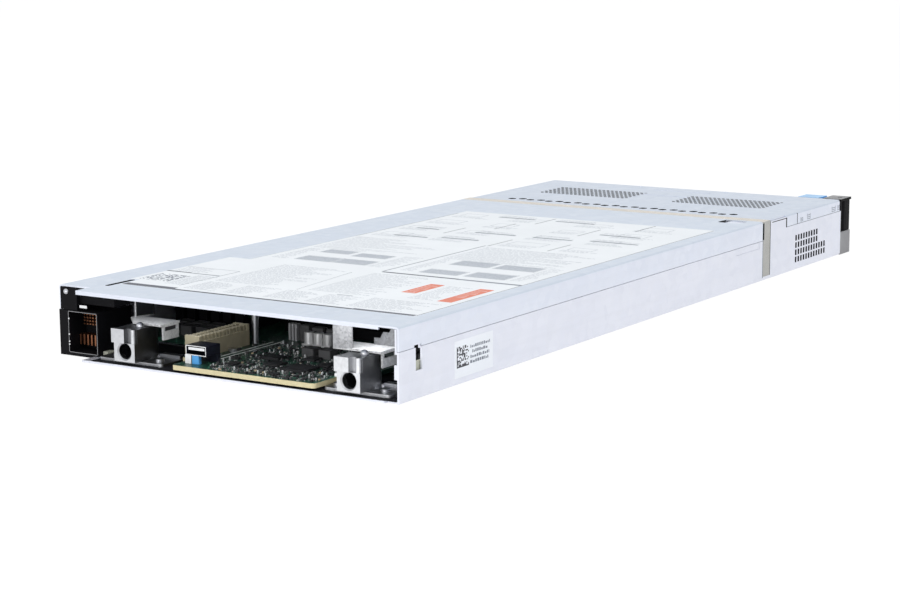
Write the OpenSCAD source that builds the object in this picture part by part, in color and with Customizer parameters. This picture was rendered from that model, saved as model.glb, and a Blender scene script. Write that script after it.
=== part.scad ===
// Single-width blade server: a flat sled that slides into a shared chassis.
// X is the width, Y the depth (drives and handle at -Y, connectors at +Y), Z is up.
// The origin lies under the middle of the sled, on its base.

/* [Sled] */
// Overall width of the sled
sled_w = 250.2; // [248:0.1:262]
// Overall length, from the connector end to the handle
sled_l = 620.35; // [616:0.05:660]
// Overall height over the top cover
sled_h = 42.15; // [41.8:0.05:46]

/* [Sheet metal] */
// Thickness of the base tray
tray_t = 1.2; // [1:0.1:1.4]
// Thickness of the sliding cover and the cage top
cover_t = 1.0; // [0.8:0.1:1.2]
// Outer radius of the sheet bends
bend_r = 1.6; // [1.5:0.1:2.5]
// Depth of the marks that pressed-in standoffs leave
press_mark = 0.3; // [0.1:0.05:0.5]
// Length of the cage top over the drives
cage_l = 127.5; // [124:0.1:132]
// How far the cover's side flanges reach down
flange_drop = 13.4; // [10:0.1:15]
// How far the cage top's side flanges reach down
cage_flange_drop = 8.2; // [6:0.1:10]
// Length of the seam between the cover and the cage top
seam_w = 13; // [10:0.5:16]
// Width of the cut-out in the connector corner
notch_w = 27; // [26:0.5:30]
// Depth of the cut-out in the connector corner
notch_d = 12.6; // [8:0.1:16]
// How far the control panel stands ahead of the cage
panel_d = 19.85; // [18:0.05:24]

/* [Fits] */
// Gap between pieces that move past each other
slide_gap = 0.3; // [0.25:0.05:0.4]
// Radial clearance of a pin in its bore
pin_gap = 0.05; // [0.02:0.01:0.08]
// Travel of the top cover from closed to free
cover_travel = 12.7; // [8:0.1:14]

/* [Rear guides] */
// Width of a guide block
guide_w = 15.3; // [14:0.1:18]
// Length of a guide block
guide_l = 26; // [22:0.5:32]
// Height of a guide block above its flange
guide_h = 19.2; // [18:0.1:20]
// Radius of the guide pin socket
guide_bore_r = 4.6; // [3.5:0.05:5.2]
// Depth of the guide pin socket
guide_bore_l = 20; // [12:0.5:22]
// Height of the socket's axis above the base
guide_axis_z = 9.1; // [8.8:0.1:10.5]
// Thickness of a guide block's flange
guide_flange_t = 1.8; // [1.4:0.1:2.2]
// Distance of the left guide socket from the left side
guide_in_left = 58.2; // [57:0.1:60]
// Distance of the right guide socket from the right side
guide_in_right = 34.2; // [33:0.1:36]

/* [System board] */
// Thickness of the system board
board_t = 2.8; // [2:0.1:3]
// Height of the standoffs under the board
standoff_h = 1.3; // [1:0.1:1.8]
// Length of the board's rear tongue
tongue_l = 61; // [56:0.5:70]
// Gap between the tongue and the flanges of the guide blocks
tongue_gap = 1.55; // [0.6:0.05:3]
// Depth of the zone between the tongue and the memory
coil_zone_l = 39; // [36:0.5:46]
// Depth of the zone for the cards in front of the memory
card_zone_l = 58.25; // [56:0.25:62]
// Free depth between the board and the drive backplane
cable_zone_l = 38; // [30:0.5:46]
// Height of a memory module
dimm_h = 31.25; // [28:0.05:32]
// Width of a heat sink
sink_w = 104; // [90:1:108]
// Height of a heat sink
sink_h = 26; // [20:0.5:28]

/* [Drives] */
// Width of the control channel beside the drive bays
channel_w = 27.95; // [26:0.05:32]
// Length of a 2.5 inch disk
disk_l = 100.35; // [98:0.05:101]
// Height of a 2.5 inch disk
disk_h = 15; // [7:0.1:15.4]
// Thickness of a carrier's side rails
rail_t = 0.9; // [0.7:0.05:1]
// Height of a drive carrier
carrier_h = 18.6; // [17:0.1:18.9]
// Depth of a carrier's front
carrier_front_d = 10; // [8:0.1:12]
// Distance of the carrier fronts behind the panel front
carrier_setback = 9.35; // [8:0.05:12]
// Gap between the lower and the upper carrier
row_gap = 1.2; // [1.1:0.05:1.4]
// Thickness of the walls between the drive bays
divider_t = 0.6; // [0.5:0.05:0.8]

/* [Handle] */
// Height of the grey lower panel
panel_base_h = 17; // [15:0.1:18]
// Radius of the handle's pin
handle_pin_r = 1.6; // [1.2:0.1:2]
// Travel of the handle's release button
release_travel = 2; // [1:0.1:2.4]

/* [Vents] */
// Radius of the holes in the top mesh
mesh_r = 1.35; // [1:0.05:1.4]
// Spacing of the holes in the top mesh
mesh_pitch = 3.7; // [3.4:0.05:5]
// Spacing of the slots in the side vents
vent_pitch = 4.7; // [4:0.1:4.8]

/* [Hidden] */
$fn = 40;

// Planes and stations
side_x = sled_w / 2;
rear_y = sled_l / 2;
front_y = -sled_l / 2;
cage_front_y = front_y + panel_d;
seam_front_y = cage_front_y + cage_l;
seam_rear_y = seam_front_y + seam_w;
cover_l = rear_y - seam_rear_y;
floor_z = tray_t;
cover_z = sled_h - cover_t;
cage_raise = 0.25;                       // height of the pressed ribs on the cage top
cage_top_z = sled_h - cage_raise;
cage_roof_z = cage_top_z - cover_t;
joggle = cover_t + slide_gap;
wall_in_x = side_x - joggle - tray_t;    // inner face of the upper tray wall
low_wall_x = side_x - tray_t;            // inner face of the lower tray wall
cover_seam_z = sled_h - flange_drop;
cage_seam_z = cage_top_z - cage_flange_drop;

// Rear guides
guide_left_x = side_x - guide_in_left;
guide_right_x = guide_in_right - side_x;
flange_in = 20.6;                        // reach of the right guide's flange towards the tongue
flange_out = 24;                         // reach of the other flanges

// System board
board_z = floor_z + standoff_h;
board_top = board_z + board_t;
board_edge = 1;                          // set-back of the tongue from the rear edge
board_side_x = wall_in_x - 1.5;
tongue_root_y = rear_y - board_edge - tongue_l;
dimm_count = 6;
zone_gap = 14;
socket_over = 5;                         // how far a socket and its latch pass a module's end

// Drives
disk_gap = 0.1;                          // play of a disk between its carrier's rails
bay_left_x = wall_in_x - divider_t;
channel_x = channel_w - side_x;          // right-hand side of the last divider
bay_pitch = (bay_left_x - channel_x) / 3;
bay_w = bay_pitch - divider_t;
carrier_w = bay_w - 2 * slide_gap;
disk_w = carrier_w - 2 * rail_t - 2 * disk_gap;
carrier_front_y = front_y + carrier_setback;
disk_front_y = carrier_front_y + carrier_front_d;
disk_rear_y = disk_front_y + disk_l;
backplane_gap = 10;
backplane_y = disk_rear_y + slide_gap + backplane_gap;
backplane_t = 2.4;

// The board reaches to the backplane's cable space, and the memory fills what the cards leave
board_front_y = backplane_y + backplane_t + cable_zone_l;
zone_rear_y = tongue_root_y - coil_zone_l - socket_over;
zone_front_y = board_front_y + card_zone_l;
dimm_l = (zone_rear_y - zone_front_y - socket_over - zone_gap) / 2;
zone_y = [zone_rear_y - dimm_l / 2, zone_rear_y - dimm_l * 1.5 - zone_gap];

// ---------------------------------------------------------------- helpers

// A box between two corners given as ranges
module block(x, y, z)
    translate([x[0], y[0], z[0]]) cube([x[1] - x[0], y[1] - y[0], z[1] - z[0]]);

// A profile drawn in X and Z, drawn out along Y
module along_y(y0, y1)
    translate([0, y1, 0]) rotate([90, 0, 0]) linear_extrude(height = y1 - y0) children();

// A profile drawn in Y and Z, drawn out along X
module along_x(x0, x1)
    translate([x0, 0, 0]) rotate([90, 0, 90]) linear_extrude(height = x1 - x0) children();

// A rectangle with round corners, centred
module round_rect(w, l, r) {
    square([w - 2 * r, l], center = true);
    square([w, l - 2 * r], center = true);
    for (x = [-1, 1], y = [-1, 1])
        translate([x * (w / 2 - r), y * (l / 2 - r)]) circle(r);
}

// Both sides of the sled
module both_sides() {
    children();
    mirror([1, 0, 0]) children();
}

// Points along an arc
function arc(cx, cy, r, a0, a1, n = 4) =
    [for (i = [0:n]) let (a = a0 + (a1 - a0) * i / n) [cx + r * cos(a), cy + r * sin(a)]];

function mirrored(pts) = [for (i = [len(pts) - 1:-1:0]) [-pts[i][0], pts[i][1]]];

// Half of a channel: floor bend, wall and the step that lets the cover lie flush
function channel_half(step_z, top_z) = concat(
    arc(side_x - bend_r, bend_r, bend_r, -90, 0),
    [[side_x, step_z], [side_x - joggle, step_z], [side_x - joggle, top_z],
     [wall_in_x, top_z], [wall_in_x, step_z - tray_t], [low_wall_x, step_z - tray_t]],
    arc(side_x - bend_r, bend_r, bend_r - tray_t, 0, -90));

function plain_half(top_z) = concat(
    arc(side_x - bend_r, bend_r, bend_r, -90, 0),
    [[side_x, top_z], [low_wall_x, top_z]],
    arc(side_x - bend_r, bend_r, bend_r - tray_t, 0, -90));

// Half of a lid: top, bend and flange
function lid_half(top_z, drop) = concat(
    [[side_x - cover_t, top_z - drop], [side_x, top_z - drop]],
    arc(side_x - bend_r, top_z - bend_r, bend_r, 0, 90));

function lid_half_inner(top_z, drop) = concat(
    arc(side_x - bend_r, top_z - bend_r, bend_r - cover_t, 90, 0),
    [[side_x - cover_t, top_z - drop]]);

// ---------------------------------------------------------------- sheet metal

hook_in = [70, 60];                      // first and last hook from the cover's ends
hook_y = [for (i = [0:2]) rear_y - hook_in[0] - i * (cover_l - hook_in[0] - hook_in[1]) / 2];
hook_len = cover_travel - 2;
hook_reach = 4;
hook_z = sled_h - 7;
hook_t = 1;
pad_mark = [38, 4.6];                    // outline pressed into the wall under the flange
pad_mark_w = 0.4;
pad_mark_d = 0.3;
slot_y = rear_y - 22.5;
slot_len = [6.2, 7.6];                   // in the wall and in the cover's flange
slot_z = [15.8, cover_seam_z + 1.2];
vent_rows = [9, 9, 12, 12];              // slots in each row, from the top
vent_size = [2.7, 4.1];
vent_row_pitch = 5.3;
vent_top_z = cage_seam_z - 10.2;
vent_in = 84;                            // last slot from the cage's front
vent_y = cage_front_y + vent_in;
shoulder_y = seam_front_y - 27;          // where the cage top's flange begins

module side_vents()
    for (row = [0:3], i = [0:vent_rows[row] - 1])
        block([side_x - 3, side_x + 1],
              [vent_y - i * vent_pitch - vent_size[0], vent_y - i * vent_pitch],
              [vent_top_z - row * vent_row_pitch - vent_size[1] / 2,
               vent_top_z - row * vent_row_pitch + vent_size[1] / 2]);

module hook_tab(y)
    block([wall_in_x - hook_reach, wall_in_x + tray_t / 2],
          [y, y + hook_len], [hook_z, hook_z + hook_t]);

module base_tray() color("lightsteelblue") difference() {
    union() {
        along_y(seam_rear_y, rear_y)
            polygon(concat(channel_half(cover_seam_z - slide_gap, cover_z - slide_gap),
                           mirrored(channel_half(cover_seam_z - slide_gap, cover_z - slide_gap))));
        along_y(seam_front_y, seam_rear_y)
            polygon(concat(plain_half(bend_r + tray_t), mirrored(plain_half(bend_r + tray_t))));
        along_y(shoulder_y, seam_front_y)
            polygon(concat(plain_half(cage_roof_z), mirrored(plain_half(cage_roof_z))));
        along_y(cage_front_y, shoulder_y)
            polygon(concat(channel_half(cage_seam_z - slide_gap, cage_roof_z),
                           mirrored(channel_half(cage_seam_z - slide_gap, cage_roof_z))));
        both_sides() for (y = hook_y) hook_tab(y);
        // small folded tab at the rear end of the right wall
        block([-side_x, -side_x + 3], [rear_y - tray_t, rear_y], [13.5, 21.5]);
    }
    // connector corner
    block([side_x - notch_w, side_x + 1], [rear_y - notch_d, rear_y + 1], [-1, sled_h]);
    // bend relief in the other rear corner
    block([-side_x + tray_t, -side_x + 9.5], [rear_y - 2.5, rear_y + 1], [-1, bend_r]);
    // latch slots and vents in both walls
    both_sides() {
        block([low_wall_x - 3, side_x + 1], [slot_y, slot_y + slot_len[0]], slot_z);
        block([side_x - pad_mark_d, side_x + 1],
              [seam_rear_y + 6, seam_rear_y + 6 + pad_mark[0]],
              [cover_seam_z - pad_mark[1] - pad_mark_w, cover_seam_z - pad_mark[1]]);
        block([side_x - pad_mark_d, side_x + 1],
              [seam_rear_y + 6 - pad_mark_w, seam_rear_y + 6],
              [cover_seam_z - pad_mark[1] - pad_mark_w, cover_seam_z - 1]);
        side_vents();
    }
    // round marks that the pressed-in standoffs leave under the floor
    for (p = standoff_at) translate([p[0], p[1], -1]) cylinder(r = 3.2, h = 1 + press_mark);
}

slot_in = 28.3;                          // cover slot: distance from the left side
slot_w = 3.4;
cover_notch_w = 24;                      // the cover laps a little over the tray's cut-out
lip_drop = 2.4;
lip_gap = 13;                            // length of rear edge without a lip, at the right
window = [17, 12];                       // cover latch window
window_in = 18.6;                        // its middle, from the right side
window_y = seam_rear_y + 10.5;

module cover_hook(y)
    along_x(wall_in_x - hook_reach - 1.2, wall_in_x - slide_gap - 0.5)
        polygon([[y + hook_len + slide_gap, cover_z + cover_t / 2],
                 [y + hook_len + slide_gap + 3, cover_z + cover_t / 2],
                 [y + hook_len + slide_gap + 3, hook_z - slide_gap - 1.2],
                 [y + 1.5, hook_z - slide_gap - 1.2], [y + 1.5, hook_z - slide_gap],
                 [y + hook_len + slide_gap, hook_z - slide_gap]]);

module top_cover() color("gainsboro") difference() {
    union() {
        along_y(seam_rear_y, rear_y)
            polygon(concat(lid_half(sled_h, flange_drop), mirrored(lid_half(sled_h, flange_drop)),
                           mirrored(lid_half_inner(sled_h, flange_drop)),
                           lid_half_inner(sled_h, flange_drop)));
        block([-side_x + lip_gap, side_x - cover_notch_w], [rear_y - cover_t, rear_y],
              [sled_h - lip_drop, cover_z]);
        both_sides() for (y = hook_y) cover_hook(y);
        // guide frame under the latch window
        translate([-side_x + window_in, window_y, cover_z - 5])
            linear_extrude(height = 5) square([window[0] + 2, window[1] + 2], center = true);
    }
    block([side_x - cover_notch_w, side_x + 1], [rear_y - notch_d, rear_y + 1], [0, sled_h + 1]);
    translate([side_x - slot_in, rear_y - 34.5, cover_z - 1])
        linear_extrude(height = cover_t + 2) round_rect(slot_w, 25, slot_w / 2 - 0.01);
    translate([-side_x + window_in, window_y, cover_z - 6])
        linear_extrude(height = cover_t + 8) round_rect(window[0], window[1], 1.5);
    both_sides() block([low_wall_x - 3, side_x + 1], [slot_y, slot_y + slot_len[1]],
                       [cover_seam_z - 1, slot_z[1]]);
}

latch_recess = 0.5;
latch_t = 1.4;
latch_finger = 4.2;                      // open finger gap beside the latch

module cover_latch() color("dimgray")
    translate([-side_x + window_in - latch_finger / 2, window_y, 0]) difference() {
        translate([0, 0, cover_z - 4.4])
            linear_extrude(height = sled_h - latch_recess - cover_z + 4.4)
                round_rect(window[0] - latch_finger - 2 * slide_gap, window[1] - 2 * slide_gap, 1.3);
        // hollow underneath
        translate([0, 0, cover_z - 5])
            linear_extrude(height = sled_h - latch_recess - latch_t - cover_z + 5)
                square([window[0] - latch_finger - 3, window[1] - 3], center = true);
    }

gasket_t = 0.8;
gasket_sink = 0.2;
frame_t = 1;
frame_clear = 5.95;                      // gap between the backplane and the frame
frame_front_y = backplane_y + backplane_t + frame_clear;
frame_lap = 3;                           // how far the frame laps under the cover
frame_vent_in = 4;                       // vent slots from the frame's front

module seam_frame() color("silver") {
    pad_x = side_x - gasket_sink - gasket_t;
    pad_z = sled_h - gasket_sink - gasket_t;
    top_z = cover_z - slide_gap;
    difference() {
        union() {
            // ring behind the walls on both sides of the seam
            along_y(frame_front_y, seam_rear_y + frame_lap)
                polygon([[-wall_in_x, floor_z], [wall_in_x, floor_z],
                         [wall_in_x, top_z], [-wall_in_x, top_z]]);
            // raised band that carries the gasket
            along_y(seam_front_y + slide_gap, seam_rear_y - slide_gap)
                polygon([[-pad_x, bend_r + tray_t], [pad_x, bend_r + tray_t],
                         [pad_x, pad_z], [-pad_x, pad_z]]);
        }
        along_y(min(frame_front_y, seam_front_y) - 1, seam_rear_y + frame_lap + 1)
            polygon([[-wall_in_x + frame_t, floor_z - 1], [wall_in_x - frame_t, floor_z - 1],
                     [wall_in_x - frame_t, top_z - frame_t], [-wall_in_x + frame_t, top_z - frame_t]]);
        // vent slots across the top
        for (i = [-6:6])
            translate([i * 17, frame_front_y + frame_vent_in, top_z - frame_t - 1])
                linear_extrude(height = frame_t + 2) round_rect(10, 3, 1.4);
    }
}

module seam_gasket() color("tan") {
    outer_x = side_x - gasket_sink;
    outer_z = sled_h - gasket_sink;
    along_y(seam_front_y + slide_gap, seam_rear_y - slide_gap)
        polygon([[outer_x - gasket_t, bend_r + tray_t], [outer_x, bend_r + tray_t],
                 [outer_x, outer_z], [-outer_x, outer_z], [-outer_x, bend_r + tray_t],
                 [-outer_x + gasket_t, bend_r + tray_t], [-outer_x + gasket_t, outer_z - gasket_t],
                 [outer_x - gasket_t, outer_z - gasket_t]]);
}

mesh_area = [sled_w * 0.296, 36];
mesh_x = [side_x - sled_w * 0.27, side_x - sled_w * 0.7255];
mesh_y = cage_front_y + 56;
hole_count = 24;
hole_in = 31;                            // from the left side to the first air hole
hole_pitch = (sled_w - 2 * hole_in - 4.2) / (hole_count - 1);
hole_row_y = seam_front_y - 11;
hole_stagger = 2.4;
rib_size = [[46, 5], [38, 4]];
rib_at = [[0, 14], [0, 43]];
flange_end = 2.5;
rivet_r = 1.6;

module mesh_holes(x, y)
    for (j = [0:floor(mesh_area[1] / (mesh_pitch * 0.866))],
         i = [0:floor(mesh_area[0] / mesh_pitch) - j % 2])
        translate([x - mesh_area[0] / 2 + (i + (j % 2) / 2) * mesh_pitch,
                   y - mesh_area[1] / 2 + j * mesh_pitch * 0.866, cage_roof_z - 1])
            cylinder(r = mesh_r, h = cover_t + 2);

module cage_top() color("gainsboro") difference() {
    union() {
        along_y(cage_front_y + flange_end, shoulder_y - 0.6)
            polygon(concat(lid_half(cage_top_z, cage_flange_drop),
                           mirrored(lid_half(cage_top_z, cage_flange_drop)),
                           mirrored(lid_half_inner(cage_top_z, cage_flange_drop)),
                           lid_half_inner(cage_top_z, cage_flange_drop)));
        block([-low_wall_x + slide_gap, low_wall_x - slide_gap],
              [cage_front_y, seam_front_y], [cage_roof_z, cage_top_z]);
        // pressed ribs and rivet heads near the front edge
        for (i = [0, 1])
            translate([rib_at[i][0], cage_front_y + rib_at[i][1], cage_roof_z])
                linear_extrude(height = cover_t + cage_raise)
                    round_rect(rib_size[i][0], rib_size[i][1], 1.9);
        for (x = [side_x - 82, side_x - 156])
            translate([x, cage_front_y + 3, cage_roof_z])
                cylinder(r = rivet_r, h = cover_t + cage_raise);
    }
    for (x = mesh_x) mesh_holes(x, mesh_y);
    // zigzag row of hexagonal air holes behind the seam
    for (i = [0:hole_count - 1])
        translate([side_x - hole_in - i * hole_pitch, hole_row_y - hole_stagger * (i % 2), cage_roof_z - 1])
            cylinder(r = hole_pitch * 0.42, h = cover_t + 2, $fn = 6);
    // split in the flange
    both_sides() block([low_wall_x - slide_gap, side_x + 1], [shoulder_y - 20, shoulder_y - 19],
                       [cage_seam_z - 1, cage_roof_z]);
}

// ---------------------------------------------------------------- drive cage

ledge_w = 0.8;
ledge_t = 0.6;
lower_z = floor_z + slide_gap;
upper_z = lower_z + carrier_h + row_gap;
ledge_z = lower_z + carrier_h + (row_gap - ledge_t) / 2;

module bay_dividers() color("silver")
    for (i = [0:3]) {
        x = bay_left_x - i * bay_pitch;
        difference() {
            union() {
                block([x, x + divider_t], [cage_front_y + 1, backplane_y - backplane_gap],
                      [floor_z, cage_roof_z]);
                block([x - (i < 3 ? slide_gap + ledge_w : 0), x + divider_t + (i > 0 ? slide_gap + ledge_w : 0)],
                      [cage_front_y + 4, backplane_y - backplane_gap - 4],
                      [ledge_z, ledge_z + ledge_t]);
            }
            // air slots between the bays
            for (row = [0, 1], k = [0:5])
                translate([x + divider_t / 2, cage_front_y + 16 + k * 15,
                           (row == 0 ? lower_z : upper_z) + carrier_h / 2])
                    rotate([0, 90, 0]) linear_extrude(height = divider_t + 2, center = true)
                        round_rect(5, 10, 2.4);
        }
    }

module drive_backplane() color("darkgreen") difference() {
    block([channel_x - 6, wall_in_x], [backplane_y, backplane_y + backplane_t],
          [floor_z, cage_roof_z]);
    // air windows between the connectors
    for (i = [0:2], row = [0, 1], side = [-1, 1])
        translate([bay_left_x - bay_pitch * i - bay_w / 2 + side * 28.5,
                   backplane_y + backplane_t / 2, (row == 0 ? lower_z : upper_z) + carrier_h / 2])
            rotate([90, 0, 0]) linear_extrude(height = backplane_t + 2, center = true)
                round_rect(8, 12, 2);
    for (i = [0:2])
        translate([bay_left_x - bay_pitch * i - bay_w / 2, backplane_y + backplane_t / 2,
                   (lower_z + upper_z + carrier_h) / 2])
            rotate([90, 0, 0]) linear_extrude(height = backplane_t + 2, center = true)
                round_rect(34, 4, 1.5);
}

module backplane_connectors() color("#222222")
    for (i = [0:2], z = [lower_z, upper_z])
        translate([bay_left_x - bay_pitch * i - bay_w / 2, 0, z + 4]) difference() {
            block([-21, 21], [backplane_y - backplane_gap, backplane_y], [0, 6]);
            block([-19, 2], [backplane_y - backplane_gap - 1, backplane_y - 4], [2, 4]);
            block([4, 19], [backplane_y - backplane_gap - 1, backplane_y - 4], [2, 4]);
        }

function bay_x(n) = bay_left_x - bay_pitch * ((n - 1) % 3) - bay_w / 2;
function bay_z(n) = n > 3 ? upper_z : lower_z;

// The carrier's front: the lever lies in a recess between two ears
lever_t = 3.2;
ear_t = 1.6;
lever_pin_r = 1;
lever_pivot_in = 4;                      // pivot from the carrier's left side
lever_pivot_y = carrier_front_y + 2.6;
button_size = [9, 8];
button_travel = 1.2;
button_lead = 0.6;
button_in = 3;                           // pocket of the button from the carrier's right side
button_pocket_w = button_size[0] + 2 * slide_gap;
lever_end_gap = 5.25;                    // between the lever's free end and the pocket
lever_l = carrier_w - lever_pivot_in - button_in - button_pocket_w - lever_end_gap;
lever_slot_pitch = 4.6;
lever_slot_in = 9;                       // first slot from the pivot
lever_slot_w = 2.6;
front_slot_in = 14;                      // first slot from the carrier's left side
front_slot_w = 2.4;
slot_edge = 1.4;

module drive_carrier(n) color("dimgray") translate([bay_x(n), 0, bay_z(n)]) {
    w = carrier_w / 2;
    difference() {
        union() {
            block([-w, w], [carrier_front_y + button_lead, disk_front_y], [0, carrier_h]);
            for (s = [-1, 1]) block([s > 0 ? w - rail_t : -w, s > 0 ? w : -w + rail_t],
                                    [disk_front_y - 1, disk_rear_y - 2], [0, carrier_h - 1]);
            block([-w, w], [disk_front_y - 1, disk_rear_y - 2], [0, carrier_h - 2.4 - disk_h]);
        }
        // recess of the lever
        block([w - lever_pivot_in - lever_l - 0.6, w + 1], [carrier_front_y - 1, carrier_front_y + lever_t + 3],
              [ear_t, carrier_h - ear_t]);
        // pocket of the button
        block([-w + button_in, -w + button_in + button_pocket_w],
              [carrier_front_y - 1, carrier_front_y + 7],
              [(carrier_h - button_size[1]) / 2 - slide_gap, (carrier_h + button_size[1]) / 2 + slide_gap]);
        // air slots through the front, beside the latch
        for (i = [0:floor((carrier_w - front_slot_in - front_slot_w - button_in - button_pocket_w - slot_edge)
                          / lever_slot_pitch)])
            translate([w - front_slot_in - i * lever_slot_pitch, 0, 0])
                block([-front_slot_w, 0], [carrier_front_y, disk_front_y - 2.6],
                      [ear_t + 1.6, carrier_h - ear_t - 1.6]);
        // windows in the side rails
        for (s = [-1, 1], k = [0:3])
            translate([s * w, disk_front_y + 20 + k * 20, carrier_h / 2])
                rotate([0, 90, 0]) linear_extrude(height = 4, center = true) round_rect(5, 12, 2.4);
    }
    // hinge pin of the lever
    translate([w - lever_pivot_in, lever_pivot_y, ear_t - 0.8])
        cylinder(r = lever_pin_r, h = carrier_h - 2 * ear_t + 1.6);
    // the disk in its carrier
    difference() {
        block([-disk_w / 2, disk_w / 2], [disk_front_y + disk_gap, disk_rear_y],
              [carrier_h - 2.4 - disk_h + disk_gap, carrier_h - 2.4]);
        block([-20, 20], [disk_rear_y - 6, disk_rear_y + 1],
              [carrier_h - disk_h - 3.4, carrier_h - disk_h + 1.2]);
    }
}

module drive_lever(n) color("silver") translate([bay_x(n), 0, bay_z(n)]) {
    w = carrier_w / 2;
    z0 = ear_t + slide_gap;
    z1 = carrier_h - ear_t - slide_gap;
    difference() {
        union() {
            block([w - lever_pivot_in - lever_l, w - lever_pivot_in],
                  [carrier_front_y, carrier_front_y + 1.4], [z0, z1]);
            for (z = [z0, z1 - 1.2])
                block([w - lever_pivot_in - lever_l + 1, w - lever_pivot_in],
                      [carrier_front_y + 0.7, carrier_front_y + lever_t], [z, z + 1.2]);
            translate([w - lever_pivot_in, lever_pivot_y, z0]) cylinder(r = 2.5, h = z1 - z0);
            // catch at the free end
            block([w - lever_pivot_in - lever_l, w - lever_pivot_in - lever_l + 1.6],
                  [carrier_front_y, carrier_front_y + lever_t + 1], [z0 + 3, z1 - 3]);
        }
        translate([w - lever_pivot_in, lever_pivot_y, z0 - 1])
            cylinder(r = lever_pin_r + pin_gap, h = z1 - z0 + 2);
        // air slots in the face of the lever
        for (i = [0:floor((lever_l - lever_slot_in - lever_slot_w - slot_edge) / lever_slot_pitch)]) {
            x = w - lever_pivot_in - lever_slot_in - i * lever_slot_pitch;
            block([x - lever_slot_w, x], [carrier_front_y - 1, carrier_front_y + 2], [z0 + 2.4, z1 - 2.4]);
        }
    }
}

module drive_button(n) color("firebrick") translate([bay_x(n), 0, bay_z(n)]) {
    w = carrier_w / 2;
    translate([-w + button_in + slide_gap + button_size[0] / 2, 0, carrier_h / 2])
        along_y(carrier_front_y, carrier_front_y + 7 - button_travel - slide_gap)
            round_rect(button_size[0], button_size[1], 1.2);
}

// ---------------------------------------------------------------- system board

board_step = [21, 9];                    // set-back and width of the tongue's left step
inner_step = [23, 12];                   // the same of its right step, beside the right guide
step_gap = 2.35;
tongue_x = [guide_right_x + flange_in + tongue_gap,
            guide_left_x - flange_out - step_gap - board_step[1]];
tongue_w = tongue_x[1] - tongue_x[0];
corner_r = 2.5;

module board_outline() {
    translate([0, (tongue_root_y + board_front_y) / 2])
        round_rect(2 * board_side_x, tongue_root_y - board_front_y, corner_r);
    translate([(tongue_x[0] + tongue_x[1]) / 2, tongue_root_y + tongue_l / 2 - 5])
        round_rect(tongue_w, tongue_l + 10, corner_r);
    translate([tongue_x[1], (tongue_root_y + rear_y - board_step[0]) / 2 - 5])
        round_rect(2 * board_step[1], rear_y - board_step[0] - tongue_root_y + 10, corner_r);
    translate([tongue_x[0], (tongue_root_y + rear_y - inner_step[0]) / 2 - 5])
        round_rect(2 * inner_step[1], rear_y - inner_step[0] - tongue_root_y + 10, corner_r);
}

standoff_x = board_side_x - 7;
standoff_at = concat(
    [for (x = [-1, 1], y = [tongue_root_y - 8, board_front_y + 8]) [x * standoff_x, y]],
    [for (x = [tongue_x[0] + 6, tongue_x[1] - 6]) [x, tongue_root_y + 12]],
    [for (x = [-1, 1]) [x * standoff_x, zone_rear_y - dimm_l - zone_gap / 2]]);
screw_r = 1.5;

module system_board() color("darkgreen") difference() {
    translate([0, 0, board_z]) linear_extrude(height = board_t) board_outline();
    for (p = standoff_at)
        translate([p[0], p[1], board_z - 1]) cylinder(r = screw_r + 0.1, h = board_t + 2);
}

module standoffs_and_screws() color("silver") {
    for (p = standoff_at) translate([p[0], p[1], 0]) {
        translate([0, 0, floor_z]) cylinder(r = 3, h = standoff_h);
        translate([0, 0, floor_z + standoff_h - 0.5]) cylinder(r = screw_r, h = board_t + 0.5);
        translate([0, 0, board_top]) cylinder(r = 2.8, h = 1.6);
    }
    // tall post at the inner end of the mezzanine connector
    translate([mezz_x - 4.2, rear_y - post_in, board_top]) cylinder(r = 2.2, h = 20.7);
}

post_in = 77;
socket_size = [78, 112, 6.2];
cpu_size = [58, 77, 4.2];
cpu_z = board_top + 4;

module cpu_sockets() color("#333333")
    for (y = zone_y) translate([0, y, 0]) difference() {
        translate([0, 0, board_top]) linear_extrude(height = socket_size[2])
            round_rect(socket_size[0], socket_size[1], 4);
        translate([0, 0, cpu_z]) linear_extrude(height = socket_size[2])
            square([cpu_size[0] + 2 * slide_gap, cpu_size[1] + 2 * slide_gap], center = true);
    }

module processors() color("lightgray")
    for (y = zone_y) translate([0, y, cpu_z]) {
        linear_extrude(height = cpu_size[2] / 2) round_rect(cpu_size[0], cpu_size[1], 1);
        translate([0, 0, cpu_size[2] / 2]) linear_extrude(height = cpu_size[2] / 2)
            round_rect(cpu_size[0] - 8, cpu_size[1] - 8, 3);
    }

fin_pitch = 3.2;
fin_t = 0.5;
sink_base_t = 5;
sink_l = 108;
sink_z = cpu_z + cpu_size[2];

// Comb of fins on a base, seen along the air flow
module sink_profile() {
    n = floor((sink_w - fin_t) / fin_pitch);
    x0 = -(n * fin_pitch + fin_t) / 2;
    polygon(concat(
        [[x0, 0], [x0 + n * fin_pitch + fin_t, 0]],
        [for (i = [n:-1:0]) each concat(
            i < n ? [[x0 + i * fin_pitch + fin_t, sink_base_t]] : [],
            [[x0 + i * fin_pitch + fin_t, sink_h], [x0 + i * fin_pitch, sink_h]],
            i > 0 ? [[x0 + i * fin_pitch, sink_base_t]] : [])]));
}

module heatsinks() color("silver")
    for (y = zone_y)
        translate([0, 0, sink_z]) along_y(y - sink_l / 2, y + sink_l / 2) sink_profile();

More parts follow.
